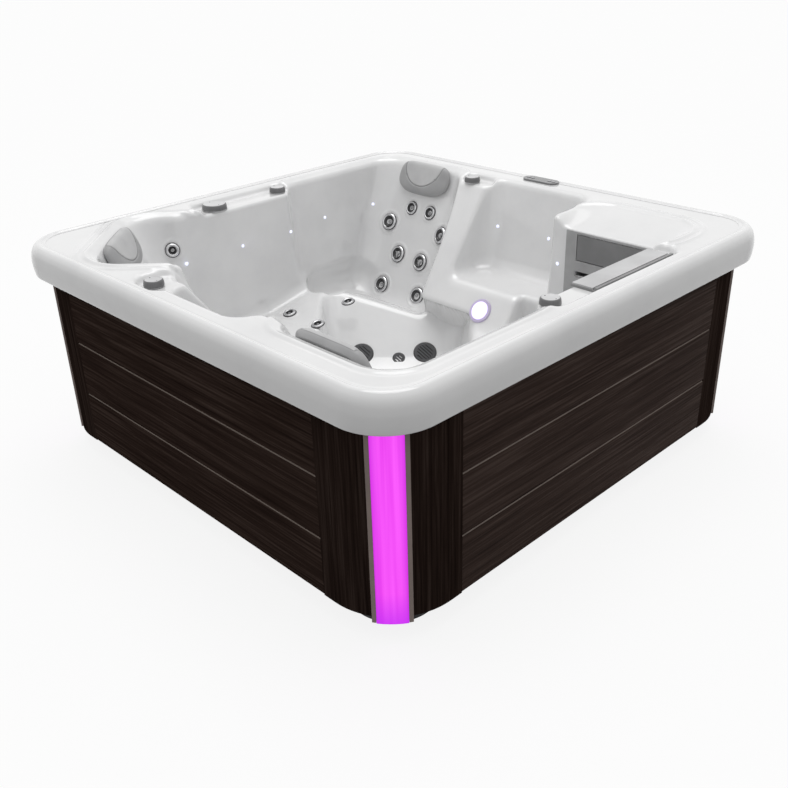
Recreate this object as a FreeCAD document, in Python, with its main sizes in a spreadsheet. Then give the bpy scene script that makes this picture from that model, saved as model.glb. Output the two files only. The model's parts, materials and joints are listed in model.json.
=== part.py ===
import FreeCAD, Part
import math
import os
import Sketcher
from FreeCAD import Vector, Placement, Rotation

# Hot tub: thin vacuum-formed shell in a plank-clad cabinet.
# Millimetres, +Z up, origin on the floor under the middle of the tub.

doc = FreeCAD.newDocument("HotTub")
sheet = doc.addObject("Spreadsheet::Sheet", "Sizes")

lengths = {
    # shell and lip
    "lipHalf": 1000, "lipCorner": 185, "lipBottom": 712, "lipTuck": 5, "bulgeRise": 48,
    "ridgeInset": 30, "rimTop": 826, "wall": 8, "overrun": 30, "rimFlare": 12,
    "basinHalf": 850, "ridgeDrop": 24, "shoulderInset": 9,
    "wellFloor": 84, "wellTop": 345, "legLevel": 300, "hipLevel": 232, "seatLevel": 453,
    "cornerSeatLevel": 440, "ledgeLevel": 800, "podLip": 778,
    "floorRound": 34, "wellRound": 20, "grooveRadius": 95, "grooveLength": 210,
    # cabinet
    "skirtHalf": 965, "skirtBottom": 80, "skirtTop": 722, "plankThick": 18, "plankPitch": 210,
    "firstPlank": 203, "plankBevel": 4, "plankGap": 1, "stileWide": 50,
    "postRadius": 238, "postThick": 18, "seamGap": 0.8,
    "stripWide": 94, "stripDrop": 20, "stripThick": 6, "stripClear": 0.3,
    "trimWide": 13, "trimDrop": 15, "trimThick": 9,
    # base and frame
    "trayHalf": 935, "trayTop": 76, "trayThick": 12, "trayCorner": 210, "footTaper": 8,
    "midFootLong": 190, "midFootDeep": 130, "cornerFoot": 210, "footInset": 40, "footCorner": 150,
    "studWide": 45, "studDeep": 40, "railHigh": 45, "railTop": 660, "railHalf": 700,
    # fittings through the shell
    "jetFlange": 39, "jetCore": 27, "neckFlange": 31, "neckCore": 21, "calfFlange": 28, "calfCore": 16,
    "jetSealHigh": 3, "jetSealInset": 7, "jetFlangeHigh": 6, "jetBevel": 4, "jetBarrelWall": 2.5,
    "jetBarrelLong": 44, "jetCup": 14, "fitClear": 0.5, "cornerStand": 5,
    "insertGap": 0.8, "insertProud": 2, "insertRecess": 7, "insertRing": 4, "hubRadius": 6, "spokeWide": 4,
    "suctionRadius": 46, "suctionRing": 52, "suctionHigh": 9, "slatWide": 5, "slatPitch": 12,
    "suctionTail": 24, "drainRadius": 25, "drainRing": 30, "drainHigh": 5, "drainTail": 12,
    "lightRadius": 43, "lightRing": 53, "lightHigh": 6, "lightDeep": 42, "lensBow": 5,
    "dotRadius": 5, "dotHigh": 2, "dotTail": 14, "dotStand": 0.4,
    # valves and knobs
    "bigKnob": 52, "smallKnob": 35, "knobHigh": 22, "knobEdge": 4, "plateRise": 3, "plateInset": 5,
    "runningGap": 0.8, "stemRadius": 9, "stemLong": 45, "neckRadius": 14, "valveRadius": 18, "valveDeep": 80,
    # topside panel
    "panelLong": 176, "panelWide": 62, "panelHigh": 7, "displayLong": 60, "displayWide": 26,
    "displayHigh": 1.5, "buttonRadius": 8, "buttonProud": 2, "buttonDeep": 5, "buttonTravel": 1.2,
    "buttonNear": 44, "buttonFar": 65, "panelBoxLong": 140, "panelBoxWide": 36, "panelBox": 34,
    # skimmer
    "plateLeft": 388, "plateWide": 384, "plateHigh": 300, "plateThick": 6, "postWide": 45, "lipBar": 8,
    "weirHigh": 99, "weirThick": 4, "weirGap": 3, "weirPin": 3, "barHigh": 42, "slotHigh": 22,
    "boxDeep": 226, "boxWall": 4, "boxHigh": 390, "shelfDrop": 234,
    "basketRadius": 78, "basketHigh": 105, "basketWall": 3, "basketRim": 8, "handleHigh": 6,
    "basketSlot": 14, "cartridgeRadius": 70, "cartridgeHigh": 140, "pleatDeep": 9, "capHigh": 10,
    "coreRadius": 22,
    # waterfall
    "fallLong": 450, "fallWide": 100, "fallHigh": 6, "fallLensWide": 78, "fallLensHigh": 6, "fallEdge": 3,
    "fallLip": 10,
    # pillows
    "pillowWide": 292, "pillowNarrow": 230, "pillowHigh": 142, "pillowThick": 44, "pillowCorner": 34,
    "pillowRest": 0.3, "pillowTuck": 14,
    # equipment
    "motorRadius": 82, "motorLong": 230, "wetRadius": 92, "wetLong": 110, "cradleHigh": 24, "cradleLong": 150,
    "pumpSide": 640, "pumpEnd": 760, "controlLong": 320, "controlWide": 150, "controlHigh": 190,
    "lidHigh": 22,
    "controlSide": 880, "heaterRadius": 38, "heaterLong": 330, "heaterLevel": 362, "heaterEast": -45,
    "pipeRadius": 25, "bendRadius": 44, "unionRadius": 34, "unionLong": 24, "returnLong": 110,
    "blowerRadius": 62, "blowerHigh": 120, "blowerX": 840, "blowerY": 690, "blowerNozzle": 24,
}

for row, (name, value) in enumerate(lengths.items(), start=1):
    sheet.set("A%d" % row, name)
    sheet.set("B%d" % row, str(value))
    sheet.setAlias("B%d" % row, name)
doc.recompute()


def size(name):
    """Value of one named length."""
    return float(sheet.get(name))


def worth(formula):
    """Value of a formula in the named lengths."""
    return float(sheet.evalExpression(formula))


made = {}


def keep(label, shape):
    """A sub-part whose shape is worked out here; its placement is set after its shape."""
    feature = doc.addObject("Part::Feature", label)
    feature.Label = label
    feature.Shape = shape
    feature.Placement = shape.Placement
    made[label] = feature
    return feature


def bind(feature, **texts):
    """Ties properties of a feature to cells of the sheet."""
    for prop, text in texts.items():
        feature.setExpression(prop.replace("_", "."), text)


def outline(x0, x1, y0, y1, corner, level):
    """Closed wire of a rectangle with round corners at one level."""
    cx = (x1 - corner, x0 + corner, x0 + corner, x1 - corner)
    cy = (y1 - corner, y1 - corner, y0 + corner, y0 + corner)
    edges = []
    for i in range(4):
        centre = Vector(cx[i], cy[i], level)
        turn = i * math.pi / 2
        ends = [centre + Vector(math.cos(a), math.sin(a), 0) * corner
                for a in (turn, turn + math.pi / 4, turn + math.pi / 2)]
        edges.append(Part.Arc(*ends).toShape())
        j = (i + 1) % 4
        after = Vector(cx[j], cy[j], level) + Vector(math.cos(turn + math.pi / 2),
                                                     math.sin(turn + math.pi / 2), 0) * corner
        edges.append(Part.makeLine(ends[2], after))
    return Part.Wire(edges)


def square(half, corner, level):
    return outline(-half, half, -half, half, corner, level)


def revolved(points):
    """Solid of revolution about Z from (radius, height) points."""
    corners = [Vector(r, 0, z) for r, z in points]
    face = Part.Face(Part.makePolygon(corners + corners[:1]))
    return face.revolve(Vector(), Vector(0, 0, 1), 360)


def box(x0, x1, y0, y1, z0, z1):
    return Part.makeBox(x1 - x0, y1 - y0, z1 - z0, Vector(x0, y0, z0))


def rod(radius, low, high, x=0.0, y=0.0):
    return Part.makeCylinder(radius, high - low, Vector(x, y, low))


# Acrylic shell.
# A hollow is lofted from a low outline to a high one. Outlines are shares of basinHalf:
# low x, high x, low y, high y and corner radius. The B corner is at low x, high y.
hollowShares = {
    "footwell": ((-0.453, 0.453, -0.315, 0.315, 0.080), (-0.789, 0.789, -0.385, 0.385, 0.120)),
    "middle": ((-0.388, 0.341, -0.120, 0.494, 0.035), (-0.480, 0.352, -0.120, 0.945, 0.100)),
    "legs": ((0.235, 0.915, -0.388, 0.673, 0.012), (0.176, 0.934, -0.388, 0.673, 0.012)),
    "farLegs": ((-0.915, -0.235, -0.530, 0.388, 0.120), (-0.934, -0.176, -0.560, 0.388, 0.120)),
    "bucket": ((-0.937, -0.357, 0.176, 0.666, 0.130), (-1.012, -0.405, 0.176, 0.988, 0.122)),
    "coolSeat": ((-0.230, 0.345, 0.500, 0.890, 0.100), (-0.240, 0.360, 0.470, 1.005, 0.090)),
    "frontSeat": ((-0.165, 0.276, -0.929, -0.500, 0.100), (-0.194, 0.308, -1.040, -0.470, 0.090)),
    "cornerSeat": ((0.529, 1.012, -0.282, 0.282, 0.129), (0.471, 1.229, -0.330, 0.330, 0.153)),
}
hollowTurn = {"footwell": 135, "cornerSeat": 225}
hollowFloor = {"footwell": "wellFloor", "middle": "legLevel", "legs": "legLevel",
               "farLegs": "legLevel", "bucket": "hipLevel",
               "coolSeat": "seatLevel", "frontSeat": "seatLevel", "cornerSeat": "cornerSeatLevel"}
hollowTop = {"footwell": "wellTop"}
hollowRound = {"footwell": "wellRound", "coolSeat": "floorRound", "frontSeat": "floorRound",
               "cornerSeat": "floorRound"}
hollows = [("footwell", 0), ("middle", 0), ("middle", 180), ("legs", 0), ("farLegs", 0),
           ("bucket", 0), ("bucket", 180), ("coolSeat", 0), ("frontSeat", 0), ("cornerSeat", 0)]
# The calf rest rises towards the knee, the seat rises from the hips to the knee.
calfSlope = math.tan(math.radians(12))
thighSlope = math.tan(math.radians(25))
# For each sloping floor: slope, where it starts and how far it runs along Y, as shares of basinHalf.
slopeShares = {"legs": (calfSlope, 0.035, -1.0), "farLegs": (calfSlope, -0.035, 1.0),
               "bucket": (thighSlope, 0.631, -1.0)}
# Edges this near to a floor belong to it; a wedge reaches this far beside the tub.
nearShare = 1e-6
outsideShare = 2.0
# Shallow ledges for the knobs and the waterfall, shares of basinHalf in the same order.
ledgeShares = {
    "leftLedge": (-1.052, -0.926, -0.341, 0.212, 0.050),
    "rightLedge": (0.926, 1.052, -0.224, 0.600, 0.050),
    "frontLedge": (-0.335, -0.150, -1.075, -0.900, 0.050),
    "rearLedge": (-0.412, -0.230, 0.880, 1.010, 0.050),
}
podShares = ((0.446, 0.922, 0.565, 0.680, 0.040), (0.388, 0.955, 0.565, 0.930, 0.150))
grooveShares = (-0.876, 0.353, 0.406)


def hollow(name, turn, grow):
    """One hollow, or its outer form when it is grown by the wall."""
    unit = size("basinHalf")
    low, high = [[share * unit for share in row] for row in hollowShares[name]]
    floor = size(hollowFloor[name]) - grow
    top = size(hollowTop.get(name, "rimTop"))

    def ring(row, level, more):
        x0, x1, y0, y1, corner = row
        return outline(x0 - more, x1 + more, y0 - more, y1 + more, corner + more, level)

    solid = Part.makeLoft([ring(low, floor, grow), ring(high, top, grow)], True, True)
    if name != "footwell" and not grow:
        flare = size("rimFlare")
        over = size("overrun")
        lip = Part.makeLoft([ring(high, top - flare, 0.0), ring(high, top, flare),
                             ring(high, top + over, flare)], True, True)
        solid = solid.fuse(lip)
    if name in hollowRound:
        near = nearShare * unit
        lowEdges = [e for e in solid.Edges
                    if abs(e.BoundBox.ZMax - floor) < near and abs(e.BoundBox.ZMin - floor) < near]
        solid = solid.makeFillet(size(hollowRound[name]) + grow, lowEdges)
    if name in slopeShares:
        # The floor rises from the start towards the knee.
        slope = slopeShares[name][0]
        start = slopeShares[name][1] * unit
        reach = slopeShares[name][2] * unit
        aside = outsideShare * unit
        end = start + reach
        rise = slope * abs(reach)
        wedge = Part.Face(Part.makePolygon([Vector(-aside, start, floor), Vector(-aside, end, floor),
                                            Vector(-aside, end, floor + rise), Vector(-aside, start, floor)]))
        solid = solid.cut(wedge.extrude(Vector(aside + aside, 0, 0)))
    solid.rotate(Vector(), Vector(0, 0, 1), hollowTurn.get(name, 0) + turn)
    return solid


def ledge(name, grow):
    unit = size("basinHalf")
    x0, x1, y0, y1, corner = [share * unit for share in ledgeShares[name]]
    level = size("ledgeLevel") - grow
    top = size("rimTop") + (0 if grow else size("overrun"))
    wires = [outline(x0 - grow, x1 + grow, y0 - grow, y1 + grow, corner + grow, z) for z in (level, top)]
    return Part.makeLoft(wires, True, True)


def podScoop(grow):
    """The slope from the rim down to the top edge of the skimmer plate."""
    unit = size("basinHalf")
    low, high = [[share * unit for share in row] for row in podShares]
    levels = (size("podLip") - grow, size("rimTop"))
    wires = [outline(r[0] - grow, r[1] + grow, r[2] - grow, r[3] + grow, r[4] + grow, z)
             for r, z in zip((low, high), levels)]
    solid = Part.makeLoft(wires, True, True)
    if not grow:
        over = Part.Face(wires[1]).extrude(Vector(0, 0, size("overrun")))
        solid = solid.fuse(over)
    return solid


def groove(grow, turn):
    """The hip groove pressed into the side wall of a lounger."""
    unit = size("basinHalf")
    x, y, z = [share * unit for share in grooveShares]
    radius = size("grooveRadius") + grow
    length = size("grooveLength")
    solid = Part.makeCylinder(radius, length, Vector(x, y, z), Vector(0, 1, 0))
    solid = solid.fuse(Part.makeSphere(radius, Vector(x, y, z)))
    solid = solid.fuse(Part.makeSphere(radius, Vector(x, y + length, z)))
    solid.rotate(Vector(), Vector(0, 0, 1), turn)
    return solid


def lipSolid(inset):
    """The lip and rim as one stack of round-cornered squares."""
    half = size("lipHalf") - inset
    corner = size("lipCorner") - inset
    bottom = size("lipBottom")
    top = size("rimTop") - inset
    ridge = size("ridgeInset")
    shoulder = size("shoulderInset")
    tuck = size("lipTuck")
    levels = [(half - tuck, bottom - (size("overrun") if inset else 0)), (half, bottom + size("bulgeRise")),
              (half - shoulder, top - size("ridgeDrop")), (half - ridge, top)]
    wires = [square(h, corner - (size("lipHalf") - inset - h), z) for h, z in levels]
    return Part.makeLoft(wires, True, False)


def spun(vector, degrees):
    """A vector turned about Z."""
    angle = math.radians(degrees)
    return Vector(vector.x * math.cos(angle) - vector.y * math.sin(angle),
                  vector.x * math.sin(angle) + vector.y * math.cos(angle), vector.z)


def wallSpot(name, turn, x, y, level):
    """Place on a hollow's side wall nearest to a plan position, and the wall's normal into the tub."""
    unit = size("basinHalf")
    low, high = hollowShares[name]
    floor = size(hollowFloor[name])
    rise = size(hollowTop.get(name, "rimTop")) - floor
    angle = hollowTurn.get(name, 0) + turn
    here = spun(Vector(x, y, 0), -angle)

    def reach(share):
        x0, x1, y0, y1, corner = [(a + (b - a) * share) * unit for a, b in zip(low, high)]
        dx = here.x - (x0 + x1) / 2
        dy = here.y - (y0 + y1) / 2
        qx = abs(dx) - (x1 - x0) / 2 + corner
        qy = abs(dy) - (y1 - y0) / 2 + corner
        away = math.hypot(qx, qy) if min(qx, qy) > 0 else max(qx, qy)
        if min(qx, qy) > 0:
            out = Vector(qx / away, qy / away, 0)
        else:
            out = Vector(float(qx > qy), float(qx <= qy), 0)
        return corner - away, Vector(math.copysign(out.x, dx), math.copysign(out.y, dy), 0)

    share = (level - floor) / rise
    gap, out = reach(share)
    stepShare = 0.01
    lean = (reach(share + stepShare)[0] - gap) / (stepShare * rise)
    place = Vector(here.x, here.y, level) + out * gap
    normal = Vector(-out.x, -out.y, lean)
    normal.normalize()
    return spun(place, angle), spun(normal, angle)


def floorSpot(name, x, y):
    """Place on the sloping floor of a hollow under a plan position, and the floor's normal."""
    slope, start, reach = slopeShares[name]
    way = math.copysign(1, reach)
    place = Vector(x, y, size(hollowFloor[name]) + slope * way * (y - start * size("basinHalf")))
    normal = Vector(0, -slope * way, 1)
    normal.normalize()
    return place, normal


def seated(shape, spot, stand=0.0):
    """The shape turned from +Z to a wall's normal and put on the wall."""
    place, normal = spot
    copy = shape.copy()
    seat = Placement(place + normal * stand, Rotation(Vector(0, 0, 1), normal))
    copy.Placement = seat.multiply(copy.Placement)
    return copy


# Water fittings. Places are shares of basinHalf in plan and of rimTop in height.
backJetShares = {
    "upper_left": ("wide", -0.869, 0.836, 0.671),
    "neck_left": ("neck", -0.739, 0.884, 0.768),
    "neck_right": ("neck", -0.600, 0.883, 0.765),
    "upper_right": ("wide", -0.471, 0.841, 0.672),
    "middle_left": ("wide", -0.746, 0.773, 0.521),
    "middle_right": ("wide", -0.572, 0.769, 0.512),
    "lower_left": ("wide", -0.800, 0.694, 0.344),
    "lower_right": ("wide", -0.526, 0.695, 0.345),
}
cornerJets = ("upper_left", "upper_right", "lower_left")
calfJetShares = {
    "calf_left": ("calf", -0.793, 0.021),
    "calf_right": ("calf", -0.569, 0.022),
    "knee": ("calf", -0.589, 0.250),
}
shoulderJetShares = ((-0.955, -0.518, 0.834), (-0.518, -0.955, 0.834))
suctionShares = (-0.176, 0.154)
drainShare = 0.016
suctionLevelShare = 0.157
drainLevelShare = 0.136
lightShares = (0.045, 0.556, 0.455)
dotLevelShare = 0.763
dotShares = (("farLegs", -0.9, -0.135), ("farLegs", -0.9, 0.174), ("bucket", -0.95, 0.460),
             ("bucket", -0.95, 0.798), ("coolSeat", -0.169, 0.940), ("coolSeat", 0.155, 0.940),
             ("legs", 0.410, 0.660), ("cornerSeat", -0.919, -0.471))
kindSizes = {"wide": ("jetFlange", "jetCore"), "neck": ("neckFlange", "neckCore"),
             "calf": ("calfFlange", "calfCore")}

jetSpots = {}
for name, (kind, x, y, level) in backJetShares.items():
    half = size("basinHalf")
    found = wallSpot("bucket", 0, x * half, y * half, level * size("rimTop"))
    jetSpots[name] = (kind, found, size("cornerStand") if name in cornerJets else 0.0)
for name, (kind, x, y) in calfJetShares.items():
    half = size("basinHalf")
    jetSpots[name] = (kind, floorSpot("farLegs", x * half, y * half), 0.0)


def opposite(spot):
    """The same place on the second lounger, half a turn round."""
    place, normal = spot
    return Vector(-place.x, -place.y, place.z), Vector(-normal.x, -normal.y, normal.z)


fixedSpots = [(kind, opposite(found), stand) for kind, found, stand in jetSpots.values()]
for x, y, level in shoulderJetShares:
    half = size("basinHalf")
    found = wallSpot("cornerSeat", 0, x * half, y * half, level * size("rimTop"))
    fixedSpots.append(("calf", found, size("cornerStand")))


def jetBody(kind, closed):
    """Flange, seal and barrel of one jet; a closed one carries its nozzle in one piece with it."""
    flange = size(kindSizes[kind][0])
    core = size(kindSizes[kind][1])
    barrel = core + size("jetBarrelWall")
    seal = size("jetSealHigh")
    face = seal + size("jetFlangeHigh")
    bevel = size("jetBevel")
    cup = face - size("jetCup")
    points = [(0, cup), (core, cup), (core, face), (flange - bevel, face), (flange, seal),
              (flange - size("jetSealInset"), seal), (flange - size("jetSealInset"), 0), (barrel, 0),
              (barrel, -size("jetBarrelLong")), (0, -size("jetBarrelLong"))]
    if closed:
        hub = size("hubRadius")
        points = [(0, face), (hub, face)] + [(hub, cup)] + points[1:]
    return revolved(points)


def jetInsert(kind):
    """Turning face of a jet: a faceted grip ring, a floor and three spokes round a hub."""
    gap = size("insertGap")
    outer = size(kindSizes[kind][1]) - gap
    floor = size("jetSealHigh") + size("jetFlangeHigh") - size("jetCup") + gap
    top = size("jetSealHigh") + size("jetFlangeHigh") + size("insertProud")
    sides = 20
    inner = outer - size("insertRing")
    deep = top - size("insertRecess")

    def prism(radius, low, high):
        angles = [k * 2 * math.pi / sides for k in range(sides)]
        ring = [Vector(radius * math.cos(a), radius * math.sin(a), low) for a in angles]
        return Part.Face(Part.makePolygon(ring + ring[:1])).extrude(Vector(0, 0, high - low))

    solid = prism(outer, floor, top).cut(prism(inner, deep, top + gap))
    hub = prism(size("hubRadius"), deep, top)
    spokes = []
    half = size("spokeWide") / 2
    for k in range(3):
        spoke = box(0, inner, -half, half, deep, top - size("insertProud"))
        spokes.append(turned(spoke, k * 120))
    # The spokes end inside the grip ring.
    return solid.fuse([hub] + [s.common(prism(inner, deep, top)) for s in spokes]).removeSplitter()


def turned(shape, degrees):
    copy = shape.copy()
    copy.rotate(Vector(), Vector(0, 0, 1), degrees)
    return copy


def holeFor(kind):
    radius = size(kindSizes[kind][1]) + size("jetBarrelWall") + size("fitClear")
    return rod(radius, -size("jetBarrelLong"), size("overrun"))


def endSpot(share, level):
    """Place on the footwell's end wall towards the far corner, a share of basinHalf beside its middle."""
    reachShare = 0.55
    near = spun(Vector(reachShare, -share, 0) * size("basinHalf"), hollowTurn["footwell"])
    return wallSpot("footwell", 0, near.x, near.y, level)


suctionSpots = [endSpot(share, suctionLevelShare * size("rimTop")) for share in suctionShares]
drainSpot = endSpot(drainShare, drainLevelShare * size("rimTop"))
half = size("basinHalf")
lightLevel = lightShares[2] * size("rimTop")
lightSpot = wallSpot("middle", 0, lightShares[0] * half, lightShares[1] * half, lightLevel)
dotSpots = [wallSpot(name, 0, x * half, y * half, dotLevelShare * size("rimTop")) for name, x, y in dotShares]

# Air controls and the diverter stand on the ledges, shares of basinHalf in plan.
knobShares = {
    "diverter_knob": ("bigKnob", -0.984, -0.238),
    "air_knob_left": ("smallKnob", -0.994, 0.159),
    "air_knob_front": ("smallKnob", -0.268, -1.021),
    "air_knob_rear": ("smallKnob", -0.355, 0.949),
    "air_knob_right": ("smallKnob", 0.988, -0.165),
}
panelShares = (-0.021, 1.096)


def cut(shape, tools):
    for tool in tools:
        shape = shape.cut(tool)
    return shape


def stadium(long, wide, low, high, x=0.0, y=0.0):
    """Upright solid with half-round ends along X."""
    reach = (long - wide) / 2
    solid = box(x - reach, x + reach, y - wide / 2, y + wide / 2, low, high)
    for side in (-1, 1):
        solid = solid.fuse(rod(wide / 2, low, high, x + side * reach, y))
    return solid.removeSplitter()


ledgeLevel = size("ledgeLevel")
rimTop = size("rimTop")
over = size("overrun")
knobPlaces = {name: Vector(x * half, y * half, ledgeLevel) for name, (kind, x, y) in knobShares.items()}
panelPlace = Vector(panelShares[0] * half, panelShares[1] * half, rimTop)

# Acrylic shell with a hole for each fitting.
cavityParts = [hollow(name, turn, 0.0) for name, turn in hollows]
cavityParts += [ledge(name, 0.0) for name in ledgeShares]
cavityParts += [podScoop(0.0)]
cavityParts += [groove(0.0, 0), groove(0.0, 180)]
cavity = cavityParts[0].fuse(cavityParts[1:])

wall = size("wall")
outerParts = [hollow(name, turn, wall) for name, turn in hollows]
outerParts += [ledge(name, wall) for name in ledgeShares]
outerParts += [podScoop(wall)]
outerParts += [groove(wall, 0), groove(wall, 180)]
shell = lipSolid(0.0).cut(lipSolid(wall)).fuse(outerParts).cut(cavity)

plateLeft = size("plateLeft")
plateRight = plateLeft + size("plateWide")
plateTop = size("podLip")
doorLeft = plateLeft + size("postWide") + size("boxWall")
doorRight = plateRight - size("postWide") - size("boxWall")
doorTop = plateTop - size("lipBar")
barTop = doorTop - size("weirHigh") - 2 * size("weirGap")
slotTop = barTop - size("barHigh")
slotBottom = slotTop - size("slotHigh")
plateFace = hollowShares["legs"][1][3] * half

holes = [seated(holeFor(kind), spot, stand) for kind, spot, stand in list(jetSpots.values()) + fixedSpots]
clear = size("fitClear")
holes += [seated(rod(size("suctionRadius") - size("slatWide") + clear, -size("suctionTail"), over), spot)
          for spot in suctionSpots]
holes += [seated(rod(size("drainRadius") - size("slatWide") + clear, -size("drainTail"), over), drainSpot)]
holes += [seated(rod(size("lightRadius") + clear, -size("lightDeep"), over), lightSpot)]
holes += [seated(rod(size("dotRadius") + clear, -size("dotTail"), over), spot) for spot in dotSpots]
holes += [rod(size("neckRadius") + clear, p.z - over, p.z + over, p.x, p.y) for p in knobPlaces.values()]
holes += [stadium(size("panelBoxLong") + 2 * clear, size("panelBoxWide") + 2 * clear,
                  rimTop - over, rimTop + over, panelPlace.x, panelPlace.y)]
holes += [box(doorLeft, doorRight, plateFace - over, plateFace + over, slotBottom, doorTop)]
shell = cut(shell, holes)
print("shell valid", shell.isValid(), "solids", len(shell.Solids), "volume", round(shell.Volume / 1e6, 2))
keep("acrylic_shell", shell)

# Jets, suction covers, drain, light and waterline lights.
jets = [seated(jetBody(kind, False), spot, stand) for kind, spot, stand in jetSpots.values()]
jets += [seated(jetBody(kind, True), spot, stand) for kind, spot, stand in fixedSpots]
keep("jet_fittings", Part.makeCompound(jets))
for name, (kind, spot, stand) in jetSpots.items():
    keep("jet_insert_" + name, seated(jetInsert(kind), spot, stand))


def grille(radius, ring, high, tail):
    """Round cover with slats over a short tail pipe."""
    slat = size("slatWide")
    inner = radius - slat
    solid = revolved([(0, 0), (ring, 0), (radius, high), (0, high)])
    solid = solid.fuse(rod(inner, -tail, 0))
    gaps = []
    across = -inner + slat
    while across < inner - slat:
        reach = math.sqrt(max(inner ** 2 - max(abs(across), abs(across + slat)) ** 2, 0)) - slat
        if reach > slat:
            gaps.append(box(-reach, reach, across, across + slat, high - slat, high + over))
        across += size("slatPitch")
    return cut(solid, gaps)


suctionCover = grille(size("suctionRadius"), size("suctionRing"), size("suctionHigh"), size("suctionTail"))
keep("suction_covers", Part.makeCompound([seated(suctionCover, spot) for spot in suctionSpots]))
drainCover = grille(size("drainRadius"), size("drainRing"), size("drainHigh"), size("drainTail"))
keep("floor_drain", seated(drainCover, drainSpot))

lightRadius = size("lightRadius")
lightWall = size("jetBarrelWall")
bezel = revolved([(lightRadius - lightWall, size("lightHigh")),
                  (size("lightRing") - lightWall, size("lightHigh")),
                  (size("lightRing"), 0), (lightRadius, 0), (lightRadius, -size("lightDeep")),
                  (0, -size("lightDeep")), (0, -size("lightDeep") + lightWall),
                  (lightRadius - lightWall, -size("lightDeep") + lightWall)])
keep("light_bezel", seated(bezel, lightSpot))
lensRadius = lightRadius - lightWall - size("pillowRest")
lensTop = size("lightHigh")
lensBow = size("lensBow")
lensBase = lensTop - lensBow
lens = revolved([(0, lensBase), (lensRadius, lensBase), (lensRadius, lensTop),
                 (lensRadius * 2 / 3, lensTop + lensBow * 2 / 3), (0, lensTop + lensBow)])
keep("light_lens", seated(lens, lightSpot))
dot = revolved([(0, -size("dotTail")), (size("dotRadius"), -size("dotTail")), (size("dotRadius"), 0),
                (size("dotRadius") + size("dotHigh"), 0), (size("dotRadius"), size("dotHigh")),
                (0, size("dotHigh"))])
keep("waterline_lights", Part.makeCompound([seated(dot, spot, size("dotStand")) for spot in dotSpots]))

# Valve bodies under the ledges and the knobs that turn them.
valves = []
for name, place in knobPlaces.items():
    top = size("plateRise")
    plate = size(knobShares[name][0]) - size("plateInset")
    bore = size("stemRadius") + size("runningGap")
    solid = revolved([(bore, top), (plate, top), (plate, 0),
                      (size("neckRadius"), 0), (size("neckRadius"), -wall),
                      (size("valveRadius"), -wall), (size("valveRadius"), -wall - size("valveDeep")),
                      (0, -wall - size("valveDeep")), (0, -size("stemLong")), (bore, -size("stemLong"))])
    solid.translate(place)
    valves.append(solid)
    radius = size(knobShares[name][0])
    foot = top + size("runningGap")
    edge = size("knobEdge")
    stem = size("stemRadius")
    end = -size("stemLong") + size("runningGap")
    crown = foot + size("knobHigh")
    knob = revolved([(0, end), (stem, end), (stem, foot), (radius, foot), (radius - edge / 2, crown - edge),
                     (radius - edge * 3 / 2, crown), (0, crown)])
    knob.translate(place)
    keep(name, knob)
keep("valve_bodies", Part.makeCompound(valves))


def body(label):
    item = doc.addObject("PartDesign::Body", label)
    item.Label = label
    made[label] = item
    return item


def sketchOn(item, role, level=None):
    """Empty sketch on one of the body's own planes, lifted by a formula."""
    plane = [p for p in item.Origin.OriginFeatures if p.Role == role][0]
    drawing = item.newObject("Sketcher::SketchObject", item.Name + "Sketch")
    drawing.AttachmentSupport = (plane, [""])
    drawing.MapMode = "FlatFace"
    if level:
        drawing.setExpression("AttachmentOffset.Base.z", level)
    return drawing


def fixPoint(drawing, geometry, end, x, y):
    """Places one point of the sketch by two formulas from the sketch's origin."""
    for kind, axis, formula in (("DistanceX", -2, x), ("DistanceY", -1, y)):
        if formula == "0":
            drawing.addConstraint(Sketcher.Constraint("PointOnObject", geometry, end, axis))
        else:
            index = drawing.addConstraint(Sketcher.Constraint(kind, -1, 1, geometry, end, worth(formula)))
            drawing.setExpression("Constraints[%d]" % index, formula)


def outlineIn(drawing, corners, arcs=None):
    """Closed outline through corners given as pairs of formulas, counter-clockwise.
    A side with a radius in arcs bulges outwards, or inwards where the radius has a minus."""
    arcs = arcs or {}
    first = drawing.GeometryCount
    spots = [Vector(worth(x), worth(y), 0) for x, y in corners]
    ends = []
    for i, here in enumerate(spots):
        after = spots[(i + 1) % len(spots)]
        if i not in arcs:
            drawing.addGeometry(Part.LineSegment(here, after), False)
            ends.append((1, 2))
            continue
        radius = worth(arcs[i])
        chord = after - here
        side = Vector(chord.y, -chord.x, 0).normalize()
        sag = abs(radius) - math.sqrt(radius ** 2 - (chord.Length / 2) ** 2)
        middle = here + chord * 0.5 + side * math.copysign(sag, radius)
        drawing.addGeometry(Part.Arc(here, middle, after), False)
        ends.append((1, 2) if radius > 0 else (2, 1))
    for i, (x, y) in enumerate(corners):
        before = (i - 1) % len(corners)
        meet = (first + before, ends[before][1], first + i, ends[i][0])
        drawing.addConstraint(Sketcher.Constraint("Coincident", *meet))
        fixPoint(drawing, first + i, ends[i][0], x, y)
    for i, formula in arcs.items():
        chord = spots[(i + 1) % len(spots)] - spots[i]
        if math.isclose(chord.Length, 2 * worth(formula)):
            # A half circle between two points of the same x is held by its centre.
            kind, held, formula = "DistanceX", (-1, 1, first + i, 3), corners[i][0]
        else:
            kind, held, formula = "Radius", (first + i,), "abs(%s)" % formula
        index = drawing.addConstraint(Sketcher.Constraint(kind, *held, worth(formula)))
        drawing.setExpression("Constraints[%d]" % index, formula)


def circleIn(drawing, radius, x="0", y="0"):
    circle = Part.Circle(Vector(worth(x), worth(y), 0), Vector(0, 0, 1), worth(radius))
    index = drawing.addGeometry(circle, False)
    fixPoint(drawing, index, 3, x, y)
    held = drawing.addConstraint(Sketcher.Constraint("Radius", index, worth(radius)))
    drawing.setExpression("Constraints[%d]" % held, radius)


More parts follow.
